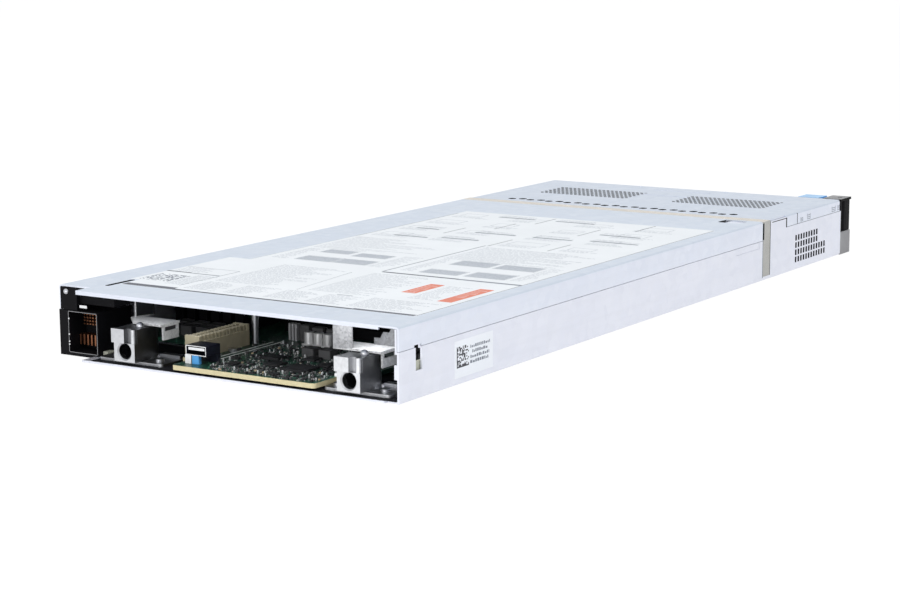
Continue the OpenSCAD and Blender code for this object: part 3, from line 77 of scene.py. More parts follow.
# ------------------------------------------------------------------ materials
class Mat:
    """A Principled material whose inputs are built from nodes. Places are in the sled's own axes."""

    def __init__(self, name, metallic=0.0, spec=0.5):
        self.m = bpy.data.materials.new(name)
        self.m.use_nodes = True
        self.t = self.m.node_tree
        self.b = self.t.nodes["Principled BSDF"]
        self.b.inputs["Metallic"].default_value = metallic
        self.b.inputs["Specular IOR Level"].default_value = spec
        self.pos = self.n("ShaderNodeTexCoord").outputs["Object"]
        self.height = None

    def n(self, kind, **props):
        node = self.t.nodes.new(kind)
        for k, v in props.items():
            setattr(node, k, v)
        return node

    def link(self, a, b):
        self.t.links.new(a, b)

    def put(self, socket, value):
        """Link an output to a socket, or write a number in it."""
        if hasattr(value, "is_output"):
            self.link(value, socket)
        else:
            socket.default_value = value

    def stretched(self, stretch):
        mapping = self.n("ShaderNodeMapping")
        self.link(self.pos, mapping.inputs["Vector"])
        mapping.inputs["Scale"].default_value = stretch
        return mapping.outputs["Vector"]

    def noise(self, scale, detail=3.0, rough=0.55, stretch=(1, 1, 1)):
        t = self.n("ShaderNodeTexNoise")
        self.link(self.stretched(stretch), t.inputs["Vector"])
        t.inputs["Scale"].default_value = scale
        t.inputs["Detail"].default_value = detail
        t.inputs["Roughness"].default_value = rough
        return t.outputs["Fac"]

    def cells(self, scale, feature="F1", out="Distance", metric="EUCLIDEAN", stretch=(1, 1, 1)):
        t = self.n("ShaderNodeTexVoronoi", feature=feature, distance=metric)
        self.link(self.stretched(stretch), t.inputs["Vector"])
        t.inputs["Scale"].default_value = scale
        return t.outputs[out]

    def wave(self, scale, axis):
        t = self.n("ShaderNodeTexWave", bands_direction=axis)
        self.link(self.pos, t.inputs["Vector"])
        t.inputs["Scale"].default_value = scale
        return t.outputs["Fac"]

    def ramp(self, fac, stops):
        """Colours, or greys, between stops given as (position, tone)."""
        r = self.n("ShaderNodeValToRGB")
        elements = r.color_ramp.elements
        while len(elements) < len(stops):
            elements.new(0.5)
        for e, (p, c) in zip(elements, stops):
            e.position = p
            e.color = (*c, 1) if hasattr(c, "__len__") else (c, c, c, 1)
        self.link(fac, r.inputs["Fac"])
        return r.outputs["Color"]

    def between(self, fac, low, high):
        return self.ramp(fac, [(0.0, low), (1.0, high)])

    def math(self, op, a, b=0.0):
        m = self.n("ShaderNodeMath", operation=op)
        self.put(m.inputs[0], a)
        self.put(m.inputs[1], b)
        return m.outputs[0]

    def mix(self, fac, a, b, blend="MIX"):
        m = self.n("ShaderNodeMix", data_type="RGBA", blend_type=blend)
        self.put(m.inputs["Factor"], fac)
        for key, v in (("A", a), ("B", b)):
            sock = [i for i in m.inputs if i.name == key and i.type == "RGBA"][0]
            self.put(sock, v if hasattr(v, "is_output") else (*v, 1))
        return [o for o in m.outputs if o.type == "RGBA"][0]

    def times(self, a, b):
        return self.mix(1.0, a, b, "MULTIPLY")

    def split(self, vector, axis):
        s = self.n("ShaderNodeSeparateXYZ")
        self.link(vector, s.inputs[0])
        return s.outputs[axis]

    def normal(self, axis):
        """How far a face looks along an axis, from -1 to 1."""
        return self.split(self.n("ShaderNodeNewGeometry").outputs["True Normal"], axis)

    def place(self, axis):
        return self.split(self.pos, axis)

    def color(self, v):
        self.put(self.b.inputs["Base Color"], v)

    def rough(self, v):
        self.put(self.b.inputs["Roughness"], v)

    def bump(self, height, strength, distance):
        """Relief in metres; a second call adds its own to the first."""
        bp = self.n("ShaderNodeBump")
        bp.inputs["Strength"].default_value = strength
        bp.inputs["Distance"].default_value = distance
        self.link(height, bp.inputs["Height"])
        if self.height is not None:
            self.link(self.height, bp.inputs["Normal"])
        self.height = bp.outputs["Normal"]
        self.link(self.height, self.b.inputs["Normal"])
        return self


def scaled(tone, k):
    return tuple(min(1, c * k) for c in tone)


def sheet_metal(name, tone, spangle=0.05, grain=0.04, rough=(0.34, 0.5), metallic=0.75, cell=170):
    """Zinc-coated sheet: crystals of slightly different shades, and a rolling grain along Y."""
    m = Mat(name, metallic=metallic)
    crystals = m.n("ShaderNodeSeparateColor")
    m.link(m.cells(cell, out="Color"), crystals.inputs[0])
    soft = m.noise(34, 4, 0.6)
    streak = m.noise(260, 3, 0.6, stretch=(1, 0.03, 1))
    mottled = m.math("ADD", m.math("MULTIPLY", crystals.outputs[0], 0.35), m.math("MULTIPLY", soft, 0.65))
    base = m.ramp(mottled, [(0.25, scaled(tone, 1 - spangle * 2)), (0.8, scaled(tone, 1 + spangle))])
    m.color(m.times(base, m.ramp(streak, [(0.3, 1 - grain), (0.7, 1.0)])))
    m.rough(m.math("ADD", m.between(crystals.outputs[1], *rough), m.math("MULTIPLY", streak, 0.06)))
    m.bump(streak, 0.05, 0.00002).bump(soft, 0.06, 0.0002)
    return m.m


def plastic(name, tone, rough=0.5, grain=900, strength=0.12, spec=0.45):
    m = Mat(name, spec=spec)
    fine = m.noise(grain, 3, 0.6)
    m.color(m.ramp(m.noise(60, 3, 0.5), [(0.3, scaled(tone, 0.86)), (0.75, scaled(tone, 1.1))]))
    m.rough(m.between(fine, rough - 0.07, rough + 0.1))
    m.bump(fine, strength, 0.00006)
    return m.m


def two_tone(name, top, side, rough=0.45, axis="Z", spec=0.4, near=None):
    """A moulding whose faces towards one axis, beyond near where it is given, have their own colour: a real
    second colour on the port's shell, and a paler top as painted light on the other mouldings.
    """
    m = Mat(name, spec=spec)
    fine = m.noise(800, 3, 0.6)
    up = m.ramp(m.normal(axis), [(0.5, 0.0), (0.8, 1.0)])
    if near:
        up = m.math("MULTIPLY", up, m.math("GREATER_THAN", m.place(axis), near))
    shade = m.ramp(m.noise(120, 3), [(0.3, 0.85), (0.75, 1.1)])
    m.color(m.times(m.mix(up, side, top), shade))
    m.rough(m.between(fine, rough - 0.07, rough + 0.1))
    m.bump(fine, 0.12, 0.00006)
    return m.m


def circuit(name, mask, line, edge, scale=90):
    """Solder mask with traces and pads; the cut edge at the connector end shows the pale laminate."""
    m = Mat(name)
    weave = m.noise(900, 2, 0.5)
    nets = m.cells(scale, "DISTANCE_TO_EDGE", "Distance", "EUCLIDEAN", (1, 0.55, 0))
    lands = m.cells(scale * 2.6, "F1", "Distance", "CHEBYCHEV", (1, 0.8, 0))
    traces = m.ramp(nets, [(0.018, 1.0), (0.035, 0.0)])
    pads = m.ramp(lands, [(0.06, 1.0), (0.09, 0.0)])
    face = m.mix(pads, m.mix(traces, mask, line), (0.42, 0.43, 0.38))
    face = m.times(face, m.ramp(m.noise(45, 3), [(0.3, 0.75), (0.75, 1.15)]))
    side = m.ramp(m.math("ABSOLUTE", m.normal("Z")), [(0.4, 1.0), (0.6, 0.0)])
    side = m.math("MULTIPLY", side, m.math("GREATER_THAN", m.place("Y"), REAR - 0.03))
    cut = m.ramp(m.noise(500, 3, 0.6, (1, 1, 6)), [(0.3, scaled(edge, 0.85)), (0.7, edge)])
    m.color(m.mix(side, face, cut))
    m.rough(m.between(side, 0.32, 0.7))
    m.bump(traces, 0.3, 0.00005).bump(weave, 0.08, 0.00003)
    return m.m


def cast_metal(name, tone, flank=1.0, top=1.0):
    """Cast metal; its flanks and its top can be painted darker than its ends, as shade."""
    m = Mat(name, metallic=1.0)
    grain = m.noise(420, 5, 0.7)
    broad = m.noise(40, 4, 0.6)
    col = m.times(m.ramp(grain, [(0.3, scaled(tone, 0.82)), (0.7, tone)]),
                  m.ramp(broad, [(0.3, 0.86), (0.7, 1.05)]))
    # painted shade on the flanks, and below on the top
    if flank < 1:
        col = m.times(col, m.ramp(m.math("ABSOLUTE", m.normal("X")), [(0.5, 1.0), (0.9, flank)]))
    if top < 1:
        col = m.times(col, m.ramp(m.normal("Z"), [(0.5, 1.0), (0.9, top)]))
    m.color(col)
    m.rough(m.between(grain, 0.3, 0.48))
    m.bump(grain, 0.3, 0.00006)
    return m.m


def polished(name, tone, rough=0.22, metallic=1.0):
    """Drawn or turned metal, with a fine grain along Y."""
    m = Mat(name, metallic=metallic)
    grain = m.noise(700, 3, 0.6, (1, 0.08, 1))
    m.color(m.ramp(m.noise(90, 3), [(0.3, scaled(tone, 0.9)), (0.7, tone)]))
    m.rough(m.between(grain, rough, rough + 0.14))
    m.bump(grain, 0.06, 0.00002)
    return m.m


def cloth(name, tone, top):
    """Woven conductive cloth, painted paler where it faces up, as painted light."""
    m = Mat(name, spec=0.3)
    m.b.inputs["Sheen Weight"].default_value = 0.25
    x, y, z = (m.wave(1600, axis) for axis in "XYZ")
    weave = m.math("MAXIMUM", m.math("MULTIPLY", x, y), m.math("MULTIPLY", y, z))
    thread = m.ramp(weave, [(0.1, 0.75), (0.8, 1.0)])
    # painted light: the paler tone goes on the faces that look up
    base = m.mix(m.ramp(m.normal("Z"), [(0.5, 0.0), (0.8, 1.0)]), tone, top)
    m.color(m.times(m.times(base, thread), m.ramp(m.noise(70, 4), [(0.3, 0.88), (0.7, 1.06)])))
    m.rough(m.between(weave, 0.6, 0.8))
    m.bump(weave, 0.5, 0.00008)
    return m.m


def paper(name, tone):
    m = Mat(name, spec=0.4)
    fibre = m.noise(1200, 3, 0.6)
    m.color(m.ramp(m.noise(26, 4, 0.6), [(0.3, scaled(tone, 0.95)), (0.7, tone)]))
    m.rough(m.between(fibre, 0.42, 0.52))
    m.bump(fibre, 0.05, 0.00002)
    return m.m


def ink(name, tone):
    m = Mat(name, spec=0.3)
    fine = m.noise(1500, 4, 0.7)
    m.color(m.ramp(fine, [(0.25, tuple(min(1, c * 1.25 + 0.03) for c in tone)), (0.6, tone)]))
    m.rough(m.between(fine, 0.5, 0.65))
    return m.m


SHADED_SHEET = {"spangle": 0.2, "grain": 0.05, "rough": (0.4, 0.6), "metallic": 0.45, "cell": 900}
# how dark the tops of the guide blocks are painted, as shade
CAST_TOP_SHADE = 0.45
PORT_FACE = REAR - 0.0125                # the port's shell is bright from here to its mouth
M = {
    # sheet metal
    "zinc": sheet_metal("zinc_sheet", (0.80, 0.82, 0.90), 0.012, 0.03),
    "cover": sheet_metal("zinc_cover", (0.78, 0.815, 0.905), 0.012, 0.03),
    # painted shade: greyer copies of the cover's zinc, for the lids' upper faces
    "cover_top": sheet_metal("zinc_cover_top_painted_shade", (0.67, 0.725, 0.81), 0.012, 0.03),
    "cage_roof": sheet_metal("zinc_cage_roof_painted_shade", (0.65, 0.70, 0.785), 0.012, 0.03),
    "galv": sheet_metal("galvanised", (0.60, 0.61, 0.62), 0.24, 0.05, (0.35, 0.6), 0.45, 900),
    # lit and shaded copies of the galvanised sheet, for painted light and painted shade
    "galv_bright": sheet_metal("galvanised_painted_lit", (0.88, 0.89, 0.91), 0.12, 0.05, (0.35, 0.6), 0.45, 900),
    "galv_half_shade": sheet_metal("galvanised_painted_half_shade", (0.38, 0.385, 0.40), **SHADED_SHEET),
    "galv_dim": sheet_metal("galvanised_painted_dim_shade", (0.20, 0.205, 0.215), **SHADED_SHEET),
    "galv_shade": sheet_metal("galvanised_shade", (0.02, 0.022, 0.026), 0.2, 0.05, (0.6, 0.7), 0.2, 900),
    # cast and drawn metal
    # the guide blocks: painted shade on their flanks and tops; the right one is also painted paler, as the
    # lit one
    "cast": cast_metal("diecast", (0.70, 0.71, 0.74), 0.2, CAST_TOP_SHADE),
    "cast_right": cast_metal("diecast_right_painted_lit", (0.86, 0.87, 0.90), 0.5, CAST_TOP_SHADE),
    "carrier": cast_metal("carrier_metal", (0.09, 0.09, 0.1)),
    "lever": cast_metal("lever_metal", (0.24, 0.24, 0.255)),
    "fins": polished("fins", (0.62, 0.63, 0.65), 0.3),
    "nickel": polished("nickel", (0.78, 0.77, 0.75), 0.2),
    "can": polished("can_silver", (0.78, 0.78, 0.78), 0.35, 0.7),
    "steel": polished("steel", (0.58, 0.59, 0.62), 0.25),
    "copper": polished("copper", (0.34, 0.15, 0.08), 0.35),
    "bright": polished("bright_edge", (0.86, 0.87, 0.88), 0.3, 0.5),
    # painted highlight, for the edges of the power connector's face
    "edge": polished("edge_highlight", (0.34, 0.34, 0.35), 0.4, 0.5),
    # boards and the parts on them
    "board": circuit("board_green", (0.008, 0.035, 0.024), (0.03, 0.11, 0.07), (0.62, 0.55, 0.34)),
    "memory": circuit("memory_green", (0.02, 0.09, 0.04), (0.05, 0.19, 0.09), (0.55, 0.5, 0.3), 240),
    "chip": plastic("chip_black", (0.018, 0.018, 0.02), 0.4, 1500, 0.15),
    "ferrite": plastic("ferrite", (0.06, 0.06, 0.062), 0.55, 1100, 0.4),
    "tan": plastic("part_tan", (0.42, 0.33, 0.22), 0.4),
    "silk": ink("silkscreen", (0.72, 0.74, 0.72)),
    "port": two_tone("port_shell", (0.86, 0.87, 0.88), (0.008, 0.009, 0.016), 0.3, "Y", near=PORT_FACE),
    # mouldings
    "black": plastic("black_plastic", (0.004, 0.004, 0.005), 0.6, spec=0.1),
    # painted light: the dark, khaki and blue mouldings get paler tops than sides
    "dark": two_tone("dark_plastic", (0.34, 0.34, 0.345), (0.006, 0.006, 0.007), 0.6, spec=0.08),
    "grey": plastic("grey_plastic", (0.30, 0.30, 0.31), 0.5, 700, 0.2),
    "khaki": two_tone("khaki_plastic", (0.72, 0.66, 0.50), (0.36, 0.32, 0.22)),
    "cream": plastic("cream_plastic", (0.50, 0.51, 0.42), 0.45),
    "blue": two_tone("blue_plastic", (0.36, 0.62, 0.92), (0.10, 0.40, 0.83), 0.4),
    "orange": plastic("button_orange", (0.5, 0.12, 0.03), 0.45),
    "white": plastic("button_white", (0.72, 0.74, 0.76), 0.4),
    # film, cloth, labels and print
    # a dark film: painted shade in holes, sockets, gaps and behind the vents, and the dark film on the tray's
    # floor
    "film": plastic("dark_film", (0.008, 0.008, 0.010), 0.75, 500, 0.05, 0.12),
    "gasket": cloth("gasket", (0.62, 0.61, 0.57), (0.86, 0.80, 0.72)),
    "label": paper("label_film", (0.84, 0.87, 0.90)),
    "tag": paper("label_paper", (0.92, 0.95, 1.0)),
    "ink": ink("ink_grey", (0.06, 0.07, 0.09)),
    "ink_soft": ink("ink_pale", (0.19, 0.21, 0.25)),
    "ink_faint": ink("ink_faint", (0.27, 0.30, 0.35)),
    "ink_block": ink("ink_block", (0.33, 0.36, 0.41)),
    "ink_dark": ink("ink_dark", (0.05, 0.05, 0.06)),
    "ink_red": ink("ink_red", (0.66, 0.20, 0.13)),
}

ASSIGN = {
    "zinc": ["base_tray"],
    "cover": ["top_cover", "cage_top", "cover_latch"],
    "galv": ["seam_frame", "bay_dividers", "mezz_bracket_left", "mezz_bracket_right"],
    "cast": ["guide_block_left"],
    "cast_right": ["guide_block_right"],
    "board": ["system_board", "drive_backplane", "storage_controller", "boot_card", "control_board"],
    "memory": ["memory_modules"],
    "black": ["backplane_connectors", "cpu_sockets", "dimm_sockets", "power_connector",
              "connector_shroud", "corner_bracket"],
    "dark": ["panel_housing", "handle"],
    "grey": ["panel_base"],
    "khaki": ["mezz_connector"],
    "blue": ["blue_clip", "handle_release"],
    "white": ["power_button"],
    "chip": ["board_chips"],
    "ferrite": ["power_coils"],
    "fins": ["heatsinks"],
    "nickel": ["processors"],
    "port": ["usb_ports"],
    "can": ["capacitors"],
    "steel": ["standoffs_and_screws", "guide_screws", "coin_cell", "handle_pin"],
    "copper": ["power_contacts"],
    "gasket": ["seam_gasket"],
    "carrier": [f"drive_{i}" for i in range(1, 7)],
    "lever": [f"drive_lever_{i}" for i in range(1, 7)],
    "orange": [f"drive_button_{i}" for i in range(1, 7)],
}
for key, names in ASSIGN.items():
    for name in names:
        nodes[name].data.materials.clear()
        nodes[name].data.materials.append(M[key])
missing = [name for name, o in nodes.items() if not o.data.materials or o.data.materials[0] is None]
assert not missing, missing

ALONG = 0.9                              # a face looks along an axis when its normal passes this
SHELF_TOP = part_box("guide_block_right")[1].z + 0.002   # the shelves lie on the guide blocks
PLATE_Y = REAR - 0.024                   # further in than this, the right bracket's plate is painted darker, as deeper shade


def repaint(name, keys, pick):
    """Give some faces of a node another material: pick(centre, normal) names it, or gives None."""
    o = nodes[name]
    for key in keys:
        o.data.materials.append(M[key])
    for face in o.data.polygons:
        key = pick(o.matrix_world @ face.center, face.normal)
        if key:
            face.material_index = 1 + keys.index(key)


# painted light: faces of a shelf that look up or towards -X get the lit copy
def shelf(normal):
    return "galv_bright" if normal.z > ALONG or normal.x < -ALONG else None


def left_bracket(centre, normal):
    if centre.z > SHELF_TOP:
        return "galv_shade" if normal.x < -ALONG else None
    return shelf(normal)


def right_bracket(centre, normal):
    if centre.z > SHELF_TOP:
        return "galv_dim" if centre.y < PLATE_Y else "galv_half_shade"
    return shelf(normal)


# painted light and shade: the brackets' shelves get a lit copy of the galvanised sheet, and the plates that
# stand on them shaded copies
repaint("mezz_bracket_left", ("galv_bright", "galv_shade"), left_bracket)
repaint("mezz_bracket_right", ("galv_bright", "galv_half_shade", "galv_dim"), right_bracket)
# painted shade: the upper faces of the lids are painted a little greyer than their flanges, though they are
# the same zinc sheet
repaint("top_cover", ("cover_top",), lambda centre, normal: "cover_top" if normal.z > 0.5 else None)
repaint("cage_top", ("cage_roof",), lambda centre, normal: "cage_roof" if normal.z > 0.5 else None)


# ------------------------------------------------------------------ mesh builder
class Shape:
    """A mesh put together from simple solids, in world axes, with a material for each."""

    def __init__(self):
        self.v, self.f, self.m = [], [], []
        self.mats = []

    def add(self, verts, faces, key):
        if key not in self.mats:
            self.mats.append(key)
        base = len(self.v)
        self.v += [tuple(p) for p in verts]
        for f in faces:
            self.f.append([base + i for i in f])
            self.m.append(self.mats.index(key))

    def box(self, x, y, z, key, chamfer=0.0):
        """A box; a chamfer cuts its upper edges back."""
        c = min(chamfer, (x[1] - x[0]) * 0.45, (y[1] - y[0]) * 0.45)
        if c <= 0:
            v = [(x[i], y[j], z[k]) for k in (0, 1) for j in (0, 1) for i in (0, 1)]
            f = [(0, 2, 3, 1), (4, 5, 7, 6), (0, 1, 5, 4), (2, 6, 7, 3), (0, 4, 6, 2), (1, 3, 7, 5)]
            return self.add(v, f, key)
        v = []
        for d, h in ((0, z[0]), (0, z[1] - c), (c, z[1])):
            v += [(x[0] + d, y[0] + d, h), (x[1] - d, y[0] + d, h),
                  (x[1] - d, y[1] - d, h), (x[0] + d, y[1] - d, h)]
        f = [(3, 2, 1, 0), (8, 9, 10, 11)]
        for r in (0, 4):
            f += [(r + i, r + (i + 1) % 4, r + 4 + (i + 1) % 4, r + 4 + i) for i in range(4)]
        self.add(v, f, key)

    def prism(self, points, z, key):
        """An outline drawn up between two heights."""
        n = len(points)
        v = [(*p, h) for h in z for p in points]
        f = [tuple(range(n - 1, -1, -1)), tuple(range(n, 2 * n))]
        f += [(i, (i + 1) % n, n + (i + 1) % n, n + i) for i in range(n)]
        self.add(v, f, key)

    def make(self, name, body):
        """Turn it into an object that rides on a body."""
        me = bpy.data.meshes.new(name)
        me.from_pydata(self.v, [], self.f)
        for key in self.mats:
            me.materials.append(M[key])
        for p, k in zip(me.polygons, self.m):
            p.material_index = k
        me.validate()
        me.update()
        o = bpy.data.objects.new(name, me)
        bpy.context.scene.collection.objects.link(o)
        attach(o, body)
        return o


def block(shape, u, s, z, key, chamfer=0.0):
    """A box between two places in u, in s and in z, in millimetres."""
    shape.box(*area(u, s), (z[0] * MM, z[1] * MM), key, chamfer * MM)


def side_patch(shape, s, z, key, lift, sink=0.01):
    """A patch on the wall that the camera sees."""
    block(shape, (WIDTH - sink, WIDTH + lift), s, z, key)


def loose_parts(name):
    """Boxes of the separate parts of a node's mesh, in world axes."""
    o = nodes[name]
    bm = bmesh.new()
    bm.from_mesh(o.data)
    bm.verts.ensure_lookup_table()
    seen, out = set(), []
    for v in bm.verts:
        if v.index in seen:
            continue
        stack, group = [v], []
        seen.add(v.index)
        while stack:
            q = stack.pop()
            group.append(o.matrix_world @ q.co)
            for e in q.link_edges:
                r = e.other_vert(q)
                if r.index not in seen:
                    seen.add(r.index)
                    stack.append(r)
        out.append((Vector([min(p[i] for p in group) for i in range(3)]),
                    Vector([max(p[i] for p in group) for i in range(3)])))
    bm.free()
    return out


# ------------------------------------------------------------------ service label on the cover
LABEL_OUTLINE = ((31.4, 31), (240, 31), (240, 404), (40, 404), (40, 145), (24, 145), (24, 49), (31.4, 49))
label_film = Shape()
label_film.prism([at(u, s) for u, s in reversed(LABEL_OUTLINE)], (TOP, TOP + FILM * MM), "label")
label_film.make("service_label", "cover")
prints = Shape()


def mark(u, s, key, layer=0):
    """A printed patch on the label's film, or on the print below it."""
    z = COVER_Z + FILM + layer * INK
    block(prints, u, s, (z, z + INK), key)


def outline(u, s, key, w):
    """A printed frame, with lines of width w."""
    for rows in ((s[0], s[0] + w), (s[1] - w, s[1])):
        mark(u, rows, key)
    for columns in ((u[0], u[0] + w), (u[1] - w, u[1])):
        mark(columns, s, key)


def small_print(u, s, pitch=2.6, weight=0.55, fill=(0.55, 0.98)):
    """Rows of short bars that stand for lines of small print, each filling a part of its row."""
    row = s[0]
    while row < s[1]:
        end = u[0] + (u[1] - u[0]) * random.uniform(*fill)
        a = u[0]
        while a < end:
            b = min(end, a + random.uniform(1.2, 5.5))
            mark((a, b), (row, row + weight), "ink_faint")
            a = b + random.uniform(0.5, 1.0)
        row += pitch


# title bands along the rear edge, with their lettering
mark((31.8, 70), (31.4, 38), "ink_soft")
mark((70, 197), (31.4, 34.2), "ink")
mark((197, 239), (31.5, 35.4), "ink_soft")
for count, start, pitch, rise, end, drop in ((54, 32.2, 0.7, 0.5, 37.6, 0.9),
                                             (55, 198, 0.73, 0.4, 35.0, 0.6)):
    for i in range(count):
        a = start + i * pitch
        mark((a, a + 0.4), (31.8 + (i % 3) * rise, end - (i % 2) * drop), "ink_dark", 1)
# rules along the other edges and between the panels
for u, s, key in (((239.2, 239.7), (34, 403), "ink"), ((40.2, 40.7), (262, 392), "ink"),
                  ((40.2, 40.5), (146, 262), "ink_faint"), ((141.0, 195), (145, 147.6), "ink"),
                  ((195, 239), (144.4, 147.4), "ink_soft"), ((139.2, 140.3), (147, 268), "ink_soft")):
    mark(u, s, key)
# first panel: a code square, its text and its frame
code = random.Random(3)
for i in range(17):
    for j in range(17):
        if code.random() < 0.5 or i in (0, 16) and j % 2 == 0:
            u, s = 28 + i * 1.3, 52 + j * 1.3
            mark((u, u + 1.2), (s, s + 1.2), "ink_soft")
small_print((52, 68), (47, 80), 2.2)
mark((23.5, 42), (83, 85), "ink")
mark((42, 64.5), (82.6, 84.2), "ink_soft")
mark((64.6, 65.2), (45, 103), "ink_soft")
mark((24, 65), (102.6, 103.1), "ink_soft")
small_print((27, 60), (87, 101))
# large text area, with a slanting row of ticks
for i in range(4):
    small_print((72 + i * 29, 98 + i * 29), (40, 66), 2.4)
small_print((72, 124), (70, 140), 2.7)
for i in range(28):
    u, s = 132.6 - i * 0.27, 69 + i * 2.4
    mark((u, u + 0.8), (s, s + 1.2), "ink_soft")
small_print((139, 186), (72, 140), 2.9)
mark((163, 174), (66.4, 67.4), "ink_soft")
small_print((204, 222), (78, 124), 3.1)
small_print((188, 236), (40, 70), 2.5)
# the two red notices, with pale lines of text on them
mark((190.4, 200.2), (92, 124), "ink_red")
mark((224.6, 234.2), (77, 124), "ink_red")
for a, b in ((192.0, 198.6), (226.2, 232.6)):
    for i in range(7):
        s = 94 + i * 4.0
        mark((a, b - (i % 3) * 1.2), (s, s + 0.5), "label", 1)
# diagrams: framed hatched blocks, with text beside and below them
BLOCKS = (((161, 188), (191, 207.5)), ((192.6, 221), (191, 206.5)),
          ((160.8, 187), (157, 171.5)), ((192.4, 220), (157.5, 175)),
          ((61.5, 83), (192, 205)), ((89, 114), (188, 200)),
          ((64, 90.5), (161, 177)), ((92.4, 117), (161.5, 176.5)))
HATCH = 1.5                              # from one hatching line to the next
HATCH_LINE = 1.12
for u, s in BLOCKS:
    for i in range(int((s[1] - s[0]) / HATCH)):
        row = s[0] + i * HATCH
        mark(u, (row, row + HATCH_LINE), "ink_block")
    outline((u[0] - 0.8, u[1] + 0.8), (s[0] - 0.8, s[1] + 0.4), "ink_soft", 0.3)
for u, s in (((146, 156), (158, 206)), ((224, 235), (158, 206)),
             ((46, 58), (160, 204)), ((120, 136), (160, 204))):
    small_print(u, s, 2.8)
small_print((144, 236), (210, 262), 3.4, 0.7)
small_print((44, 134), (208, 262), 3.4, 0.6, (0.3, 0.9))
# step boxes at the front of the label: upright rules, headings, framed pictures and notes
RULES = ((85, (302, 331)), (105, (336, 365)), (117, (371, 401)), (141.7, (267, 299)),
         (186.2, (268, 299)), (170.5, (336, 369)), (195, (372, 403)))
HEADINGS = (((95, 124), 284.5), ((102, 134), 316), ((148, 178), 315.5), ((189, 225), 320), ((77, 107), 389),
            ((123, 154), 390), ((55, 73), 315), ((60, 87), 279), ((181, 212), 348))
for u, s in RULES:
    mark((u - 0.35, u + 0.35), s, "ink")
for u, s in HEADINGS:
    mark(u, (s - 1.3, s + 1.3), "ink_soft")
    small_print(u, (s + 3, s + 10))
picture = random.Random(11)
for u in (48, 94, 148, 194):
    for s in (280, 314, 348, 382):
        outline((u, u + picture.uniform(16, 26)), (s, s + picture.uniform(8, 14)), "ink_faint", 0.4)
        small_print((u - 2, u + 30), (s - 8, s - 2), 2.4)
prints.make("service_label_print", "cover")

# ------------------------------------------------------------------ dark films, and painted shade in and behind open holes
SHEET = 0.001                            # thickness of the sheet metal
ROOF = cage_hi.z - 0.00025               # the cage top's level between its pressed ribs
SLACK = 2e-5                             # how far a cut face may pass the places it is looked for in


def line_openings(name, node, places, axis, body, key="film"):
    """Paint shade in the holes of a sheet: dark patches over the node's cut faces inside some places.

    Faces that look along the axis, the sheet's own, are left out.
    """
    shape = Shape()
    o = nodes[node]
    for face in o.data.polygons:
        if abs(face.normal[axis]) > 0.25:
            continue
        corners = [o.matrix_world @ o.data.vertices[i].co for i in face.vertices]
        if all(a - SLACK <= q[k] <= b + SLACK for q in corners for k, (a, b) in enumerate(places)):
            lift = face.normal * FILM * MM
            shape.add([q + lift for q in corners], [tuple(range(len(corners)))], key)
    if shape.f:
        shape.make(name, body)


# a dark film on the tray's floor at the connector end, beside the power connector
floor_film = Shape()
FLOOR_Z = FLOOR_TOP / MM
block(floor_film, (33, WIDTH - 2.5), (0.9, 62), (FLOOR_Z, FLOOR_Z + 0.15), "film")
floor_film.make("floor_film", "sled")

# painted shade: dark sheets under the cage top's mesh and behind the side vents hide the bays
vent_shade = Shape()
vent_shade.box((cage_lo.x + 0.006, cage_hi.x - 0.03), (cage_lo.y + 0.022, cage_hi.y - 0.02),
          (cage_hi.z - 0.0021, cage_hi.z - 0.0019), "galv_dim")
for side in (-1, 1):
    vent_shade.box(sorted((side * (SIDE - 0.0062), side * (SIDE - 0.006))), (cage_lo.y + 0.036, cage_lo.y + 0.092),
              (0.006, cage_hi.z - 0.014), "film")
vent_shade.make("vent_shade_sheets", "sled")

line_openings("cage_hole_edges", "cage_top",
              ((-0.11, 0.11), (cage_hi.y - 0.02, cage_hi.y - 0.001), (ROOF - SHEET, ROOF)), 2, "sled")
line_openings("cage_mesh_edges", "cage_top",
              ((-0.11, 0.11), (cage_lo.y + 0.008, cage_hi.y - 0.02), (ROOF - SHEET, ROOF)), 2, "sled",
              "galv_dim")
line_openings("cover_slot_edges", "top_cover",
              ((SIDE - 0.033, SIDE - 0.023), (REAR - 0.05, REAR - 0.018), (TOP - SHEET, TOP)), 2, "cover")
line_openings("latch_window_edges", "top_cover",
              ((-0.1165, -0.0965), (REAR - 0.457, REAR - 0.442), (TOP - SHEET, TOP)), 2, "cover")
for side, name in ((-1, "right"), (1, "left")):
    wall = sorted((side * (SIDE - 0.0013), side * SIDE))
    line_openings("side_vent_edges_" + name, "base_tray",
                  (wall, (cage_lo.y + 0.02, cage_hi.y - 0.02), (0.004, 0.031)), 0, "sled")

# ------------------------------------------------------------------ small parts at the board's open end
keep_out = []                            # X and Y ranges that are taken
for margin, names in ((0.6, ("mezz_connector", "usb_ports", "blue_clip")),
                      (0.5, ("board_chips", "capacitors", "power_coils", "standoffs_and_screws"))):
    for name in names:
        for a, b in loose_parts(name):
            keep_out.append((a.x - margin * MM, b.x + margin * MM, a.y - margin * MM, b.y + margin * MM))
for u, s in (((93, 117), (0, 9.5)), ((102.4, 109.4), (26, 88)), ((106, 144), (93, 101))):
    x, y = area(u, s)
    keep_out.append((*x, *y))

PARTS_X = (-66.5 * MM, 30.5 * MM)        # the width of the board's tongue
PARTS_Y = REAR - 2.2 * MM                # no part comes nearer to the tongue's edge


def free(x, y, w, l):
    """Whether a part fits on the tongue here without touching another."""
    if not (PARTS_X[0] < x - w / 2 and x + w / 2 < PARTS_X[1] and y + l / 2 < PARTS_Y):
        return False
    return all(x + w / 2 < a or x - w / 2 > b or y + l / 2 < c or y - l / 2 > d for a, b, c, d in keep_out)


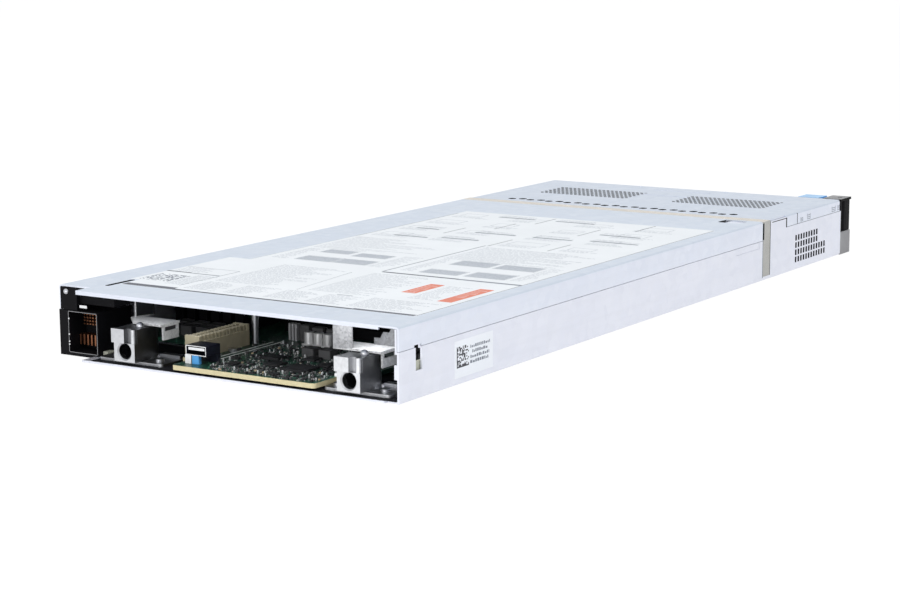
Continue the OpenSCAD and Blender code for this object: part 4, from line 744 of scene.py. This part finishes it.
def chip_part(shape, x, y, w, l, h, body, cap=None):
    """A surface part, with metal ends where it has them."""
    sides = [(x - w / 2, x + w / 2), (y - l / 2, y + l / 2)]
    bevel = h * 0.12
    if not cap:
        shape.box(*sides, (BOARD_TOP, BOARD_TOP + h), body, bevel)
        return
    axis = 0 if w >= l else 1
    a, b = sides[axis]
    end = 0.28 * max(w, l)
    for stretch, top, key, chamfer in (((a, a + end), h, cap, bevel), ((b - end, b), h, cap, bevel),
                                       ((a + end, b - end), h * 0.94, body, 0.0)):
        sides[axis] = stretch
        shape.box(*sides, (BOARD_TOP, BOARD_TOP + top), key, chamfer)


# width, length and height in millimetres, body, metal ends and how many among the others
KINDS = ((1.0, 0.5, 0.5, "tan", "can", 22), (1.3, 0.8, 0.7, "chip", "can", 24),
         (0.6, 0.3, 0.35, "chip", "can", 60), (1.6, 0.8, 0.8, "tan", None, 14),
         (1.3, 1.3, 0.8, "chip", None, 46), (2.6, 2.2, 0.9, "chip", None, 26),
         (0.5, 0.5, 1.5, "bright", None, 9), (3.6, 3.0, 1.0, "chip", None, 12),
         (1.6, 0.8, 1.4, "ferrite", None, 34), (0.7, 0.7, 2.0, "bright", None, 6),
         (1.0, 0.6, 0.6, "ferrite", None, 60))
TRIES, MOST = 3600, 760                  # places that are tried, and parts at most
NEAR_SHARE = 0.52                        # of the places, those within 26 mm of the edge
APART = 0.5 * MM                         # added to a part's size when its place is tried
surface = Shape()
parts = random.Random(21)
total = sum(kind[-1] for kind in KINDS)
placed = 0
for _ in range(TRIES):
    pick = parts.uniform(0, total)
    for w, l, h, body, cap, share in KINDS:
        pick -= share
        if pick <= 0:
            break
    if parts.random() < 0.5:
        w, l = l, w
    near = parts.random() < NEAR_SHARE
    x = parts.uniform(-66, 30) * MM
    y = REAR - (parts.uniform(2.5, 26) if near else parts.uniform(20, 84)) * MM
    w, l, h = w * MM, l * MM, h * MM
    if not free(x, y, w + APART, l + APART):
        continue
    keep_out.append((x - w / 2, x + w / 2, y - l / 2, y + l / 2))
    chip_part(surface, x, y, w, l, h, body, cap)
    placed += 1
    if placed >= MOST:
        break
for u, s in ((108.0, (28, 88)), (103.6, (34, 84))):
    block(surface, (u - 0.18, u + 0.18), s, (BOARD_Z, BOARD_Z + 0.35), "silk")
surface.make("surface_parts", "sled")

# ------------------------------------------------------------------ trim at the connector end
# a row of upright parts that stands across the board behind the small ones
upright = Shape()
for i in range(3):
    block(upright, (107.6 + i * 2.3, 109.1 + i * 2.3), (94, 98), (BOARD_Z, 15.6), "grey")
for u, top in (((116, 122.4), 15.4), ((125, 132.6), 14.6), ((135.4, 141.6), 14.6)):
    block(upright, u, (94.4, 100), (BOARD_Z, top), "ferrite", 0.4)
upright.make("upright_parts", "sled")

# painted highlights: pale edges around the power connector's face, and four bright spots at its side
a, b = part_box("power_connector")
EDGE = 0.28 * MM
rim = Shape()
for x, z in (((a.x, b.x), (b.z - EDGE, b.z)), ((a.x, b.x), (a.z, a.z + EDGE)),
             ((a.x, a.x + EDGE), (a.z, b.z)), ((b.x - EDGE, b.x), (a.z, b.z))):
    rim.box(x, (b.y, b.y + 0.1 * MM), z, "edge")
for z in (6.3, 8.1, 12.4, 21.8):
    rim.box((b.x - 0.9 * MM, b.x), (b.y, b.y + 0.16 * MM), (z * MM, (z + 0.8) * MM), "bright")
rim.make("connector_rim_highlights", "sled")

# painted shade: the guides' sockets are painted dark beyond their first few millimetres
SOCKET_R = 4.57 * MM                     # radius of the tube of painted shade
SOCKET_Z = 9.1 * MM                      # height of its axis
SOCKET_S = (6.5, 20.8)                   # where it starts and ends
RING = 32
sockets = Shape()
for u in (58.2, 216.0):
    verts = []
    for s in SOCKET_S:
        x, y = at(u, s)
        for i in range(RING):
            turn = 2 * math.pi * i / RING
            verts.append((x + SOCKET_R * math.cos(turn), y, SOCKET_Z + SOCKET_R * math.sin(turn)))
    faces = [(i, (i + 1) % RING, RING + (i + 1) % RING, RING + i) for i in range(RING)]
    sockets.add(verts, faces + [tuple(range(RING, 2 * RING))], "film")
sockets.make("socket_shade", "sled")

tabs = Shape()
# painted light: a thin bright strip where the gap between the connector's housing and the bracket above it
# shows light
block(tabs, (16.2, 21.8), (11.7, 11.8), (29.4, 31.0), "bright")
block(tabs, (27.6, 33.2), (16, 22), (1.2, 3.8), "cream", 0.3)
block(tabs, (206.6, 208.35), (2.4, 5.4), (10.6, 12.6), "bright", 0.3)
block(tabs, (247.2, 248.4), (18, 27), (13.6, 20.4), "cream")
tabs.make("small_tabs", "sled")

# ------------------------------------------------------------------ label and dark joints on the side
side_label = Shape()
side_patch(side_label, (55.1, 95.7), (4.0, 25.0), "tag", FILM)
side_label.make("side_label", "sled")
label_print = Shape()
grid = random.Random(5)                  # the code square, and then the lines of text beside it
for i in range(14):
    for j in range(14):
        if grid.random() < 0.52 or i == 0 or j == 0:
            s, z = 57.3 + i * 0.9, 9.6 + j * 0.85
            side_patch(label_print, (s, s + 0.9), (z, z + 0.85), "ink_dark", FILM + INK)
for row, (start, end) in enumerate(((71.5, 92.5), (73.5, 90), (71.5, 91.5), (71.2, 90.5))):
    s = start
    z = 18.9 - row * 2.9
    while s < end:
        e = min(end, s + grid.uniform(0.8, 2.2))
        tall = 1.7 if grid.random() < 0.5 else 1.2
        side_patch(label_print, (s, e), (z, z + tall), "ink_soft", FILM + INK)
        s = e + 0.55
label_print.make("side_label_print", "sled")

# dark lines where sheets meet, partly the joints' own dark and partly painted shade in their gaps and under
# the edges above them: two in gaps of the wall, the others on its face
joint = Shape()
for s, z in (((SEAM_S + 12.7, SEAM_S + 13), (2.0, 41.0)), ((SEAM_S + 59.1, SEAM_S + 59.9), (33.75, 41.4))):
    block(joint, (WIDTH - 0.9, WIDTH - 0.02), s, z, "film")
for s, z, key in (((-0.3, 2.3), (29.2, 40.9), "film"),             # the seam, above the wall's step
                  ((-0.1, 0.9), (2.2, 29.2), "ink_soft"),          # the seam, below it
                  ((39.6, 41.2), (33.3, 40.2), "film"),            # the end of the cage top's flange
                  ((15.5, 40), (39.7, 40.25), "film"),             # the cage top's edge behind that
                  ((41, 140), (33.36, 33.74), "ink_soft")):        # the flange's lower edge
    side_patch(joint, (SEAM_S + s[0], SEAM_S + s[1]), z, key, INK, 0.25)
joint.make("joint_lines_and_shade", "sled")
# painted shadow: the dark gap along two edges of the latch and the shadow beside it, drawn on the cover's
# face
shadow = Shape()
for corners in (((222.2, 445.0), (228.6, 444.2), (223.1, 457.0)),
                ((222.9, 456.2), (240.0, 454.6), (240.0, 455.2), (223.0, 457.1))):
    shadow.prism([at(u, s) for u, s in corners], (TOP, TOP + INK * MM), "film")
shadow.make("latch_shadow_gap", "cover")
# marks stamped in the wall near the front: two uprights and three bars each
stamped = Shape()
for s, z in (((525.3, 529.6), (34.4, 37.6)), ((537.4, 543), (34.6, 38.8)),
             ((583, 590), (34.6, 38.6)), ((594, 597.6), (34.6, 38.8))):
    for i in range(3):
        low = z[0] + (z[1] - z[0]) * i / 3
        side_patch(stamped, (s[0] + 0.5 * (i % 2), s[1] - 0.7 * (i % 2)), (low, low + 0.55), "ink_faint", INK)
    side_patch(stamped, (s[0], s[0] + 0.6), z, "ink_faint", INK)
    side_patch(stamped, (s[1] - 0.6, s[1]), z, "ink_faint", INK)
stamped.make("stamped_marks", "sled")

# ------------------------------------------------------------------ camera
# its place and its direction were fitted to the sled's corners in the photograph
CAMERA_AT = Vector((-0.76112, 1.25732, 0.25895))
FORWARD = Vector((0.52923, -0.83033, -0.17457)).normalized()
UPWARD = Vector((0.08858, -0.15055, 0.98463))
cam_data = bpy.data.cameras.new("camera")
cam_data.lens = 88.0
cam_data.sensor_width = 36.0
cam_data.clip_start = 0.05
cam_data.clip_end = 60
cam = bpy.data.objects.new("camera", cam_data)
bpy.context.scene.collection.objects.link(cam)
right = FORWARD.cross(UPWARD).normalized()
turn = Matrix((right, right.cross(FORWARD).normalized(), -FORWARD)).transposed()
cam.matrix_world = Matrix.Translation(CAMERA_AT) @ turn.to_4x4()
bpy.context.scene.camera = cam


# ------------------------------------------------------------------ floor, backdrop and light
def seen_by(tree, rays):
    """1 for the named kinds of ray, 0 for the others."""
    path = tree.nodes.new("ShaderNodeLightPath")
    seen = path.outputs[rays[0]]
    for ray in rays[1:]:
        either = tree.nodes.new("ShaderNodeMath")
        either.operation = "MAXIMUM"
        tree.links.new(seen, either.inputs[0])
        tree.links.new(path.outputs[ray], either.inputs[1])
        seen = either.outputs[0]
    return seen


FLOOR_TONE = (0.9, 0.9, 0.91, 1)         # how much light the floor gives back to the sled
FLOOR_WHITE = 1.06                       # what the camera and reflections see of it, nearly all white
SHADOWLESS = 0.90                        # the share of that white, the rest takes shadows


def stage_material():
    m = bpy.data.materials.new("stage_white")
    m.use_nodes = True
    t = m.node_tree
    t.nodes.clear()
    out = t.nodes.new("ShaderNodeOutputMaterial")
    matt = t.nodes.new("ShaderNodeBsdfDiffuse")
    matt.inputs["Color"].default_value = FLOOR_TONE
    white = t.nodes.new("ShaderNodeEmission")
    white.inputs["Color"].default_value = (1, 1, 1, 1)
    white.inputs["Strength"].default_value = FLOOR_WHITE
    share = t.nodes.new("ShaderNodeMath")
    share.operation = "MULTIPLY"
    share.inputs[1].default_value = SHADOWLESS
    t.links.new(seen_by(t, ("Is Camera Ray", "Is Glossy Ray", "Is Transmission Ray")), share.inputs[0])
    mix = t.nodes.new("ShaderNodeMixShader")
    for i, socket in enumerate((share.outputs[0], matt.outputs[0], white.outputs[0])):
        t.links.new(socket, mix.inputs[i])
    t.links.new(mix.outputs[0], out.inputs["Surface"])
    return m


R = 14                                   # half the floor's width, in metres
plane = bpy.data.meshes.new("floor")
plane.from_pydata([(-R, -R, 0), (R, -R, 0), (R, R, 0), (-R, R, 0)], [], [(0, 1, 2, 3)])
plane.materials.append(stage_material())
floor = bpy.data.objects.new("floor", plane)
floor.location.z = -0.0004
bpy.context.scene.collection.objects.link(floor)

# the world is white where it is seen, and gives less light than that
world = bpy.data.worlds.new("world")
bpy.context.scene.world = world
world.use_nodes = True
tree = world.node_tree
sky = tree.nodes["Background"]
sky.inputs["Color"].default_value = (0.96, 0.98, 1.0, 1)
strength = tree.nodes.new("ShaderNodeMapRange")
strength.inputs["To Min"].default_value = 0.55
strength.inputs["To Max"].default_value = 1.0
tree.links.new(seen_by(tree, ("Is Camera Ray", "Is Glossy Ray")), strength.inputs["Value"])
tree.links.new(strength.outputs["Result"], sky.inputs["Strength"])


def lamp(name, place, target, size, watts):
    d = bpy.data.lights.new(name, "AREA")
    d.shape = "RECTANGLE"
    d.size, d.size_y = size
    d.energy = watts
    o = bpy.data.objects.new(name, d)
    o.location = place
    o.rotation_euler = (Vector(target) - Vector(place)).to_track_quat("-Z", "Y").to_euler()
    bpy.context.scene.collection.objects.link(o)
    return o


# The large lamps are kept out of reflections, so that the bright sheet doesn't clip. The end lamp
# isn't: from low in front of the sled its reflection turns the cover almost white.
for name, place, target, size, watts in (("key", (-1.6, 1.2, 1.9), (0, 0.05, 0), (1.6, 1.6), 22),
                                         ("fill", (1.3, 1.8, 1.0), (0, 0.1, 0), (1.4, 1.2), 9),
                                         ("top", (0.2, -0.4, 2.4), (0, 0, 0), (2.2, 2.2), 16)):
    lamp(name, place, target, size, watts).visible_glossy = False
lamp("end", (-0.15, 1.5, 0.24), (0, 0.3, 0.02), (0.9, 0.24), 4)
# soft light just under the cover's rear edge, for the open connector end
for u, s, watts in (((198, 244), (3, 14), 0.013), ((92, 190), (3, 14), 0.013), ((44, 86), (3, 14), 0.005),
                    ((210, 228), (17, 30), 0.003)):
    x, y = at((u[0] + u[1]) / 2, (s[0] + s[1]) / 2)
    size = ((u[1] - u[0]) * MM, (s[1] - s[0]) * MM)
    inner = lamp("inner", (x, y, TOP - 1.6 * MM), (x, y - 0.004, 0), size, watts)
    inner.visible_camera = False
    inner.visible_glossy = False

bpy.context.scene.view_settings.view_transform = "Standard"
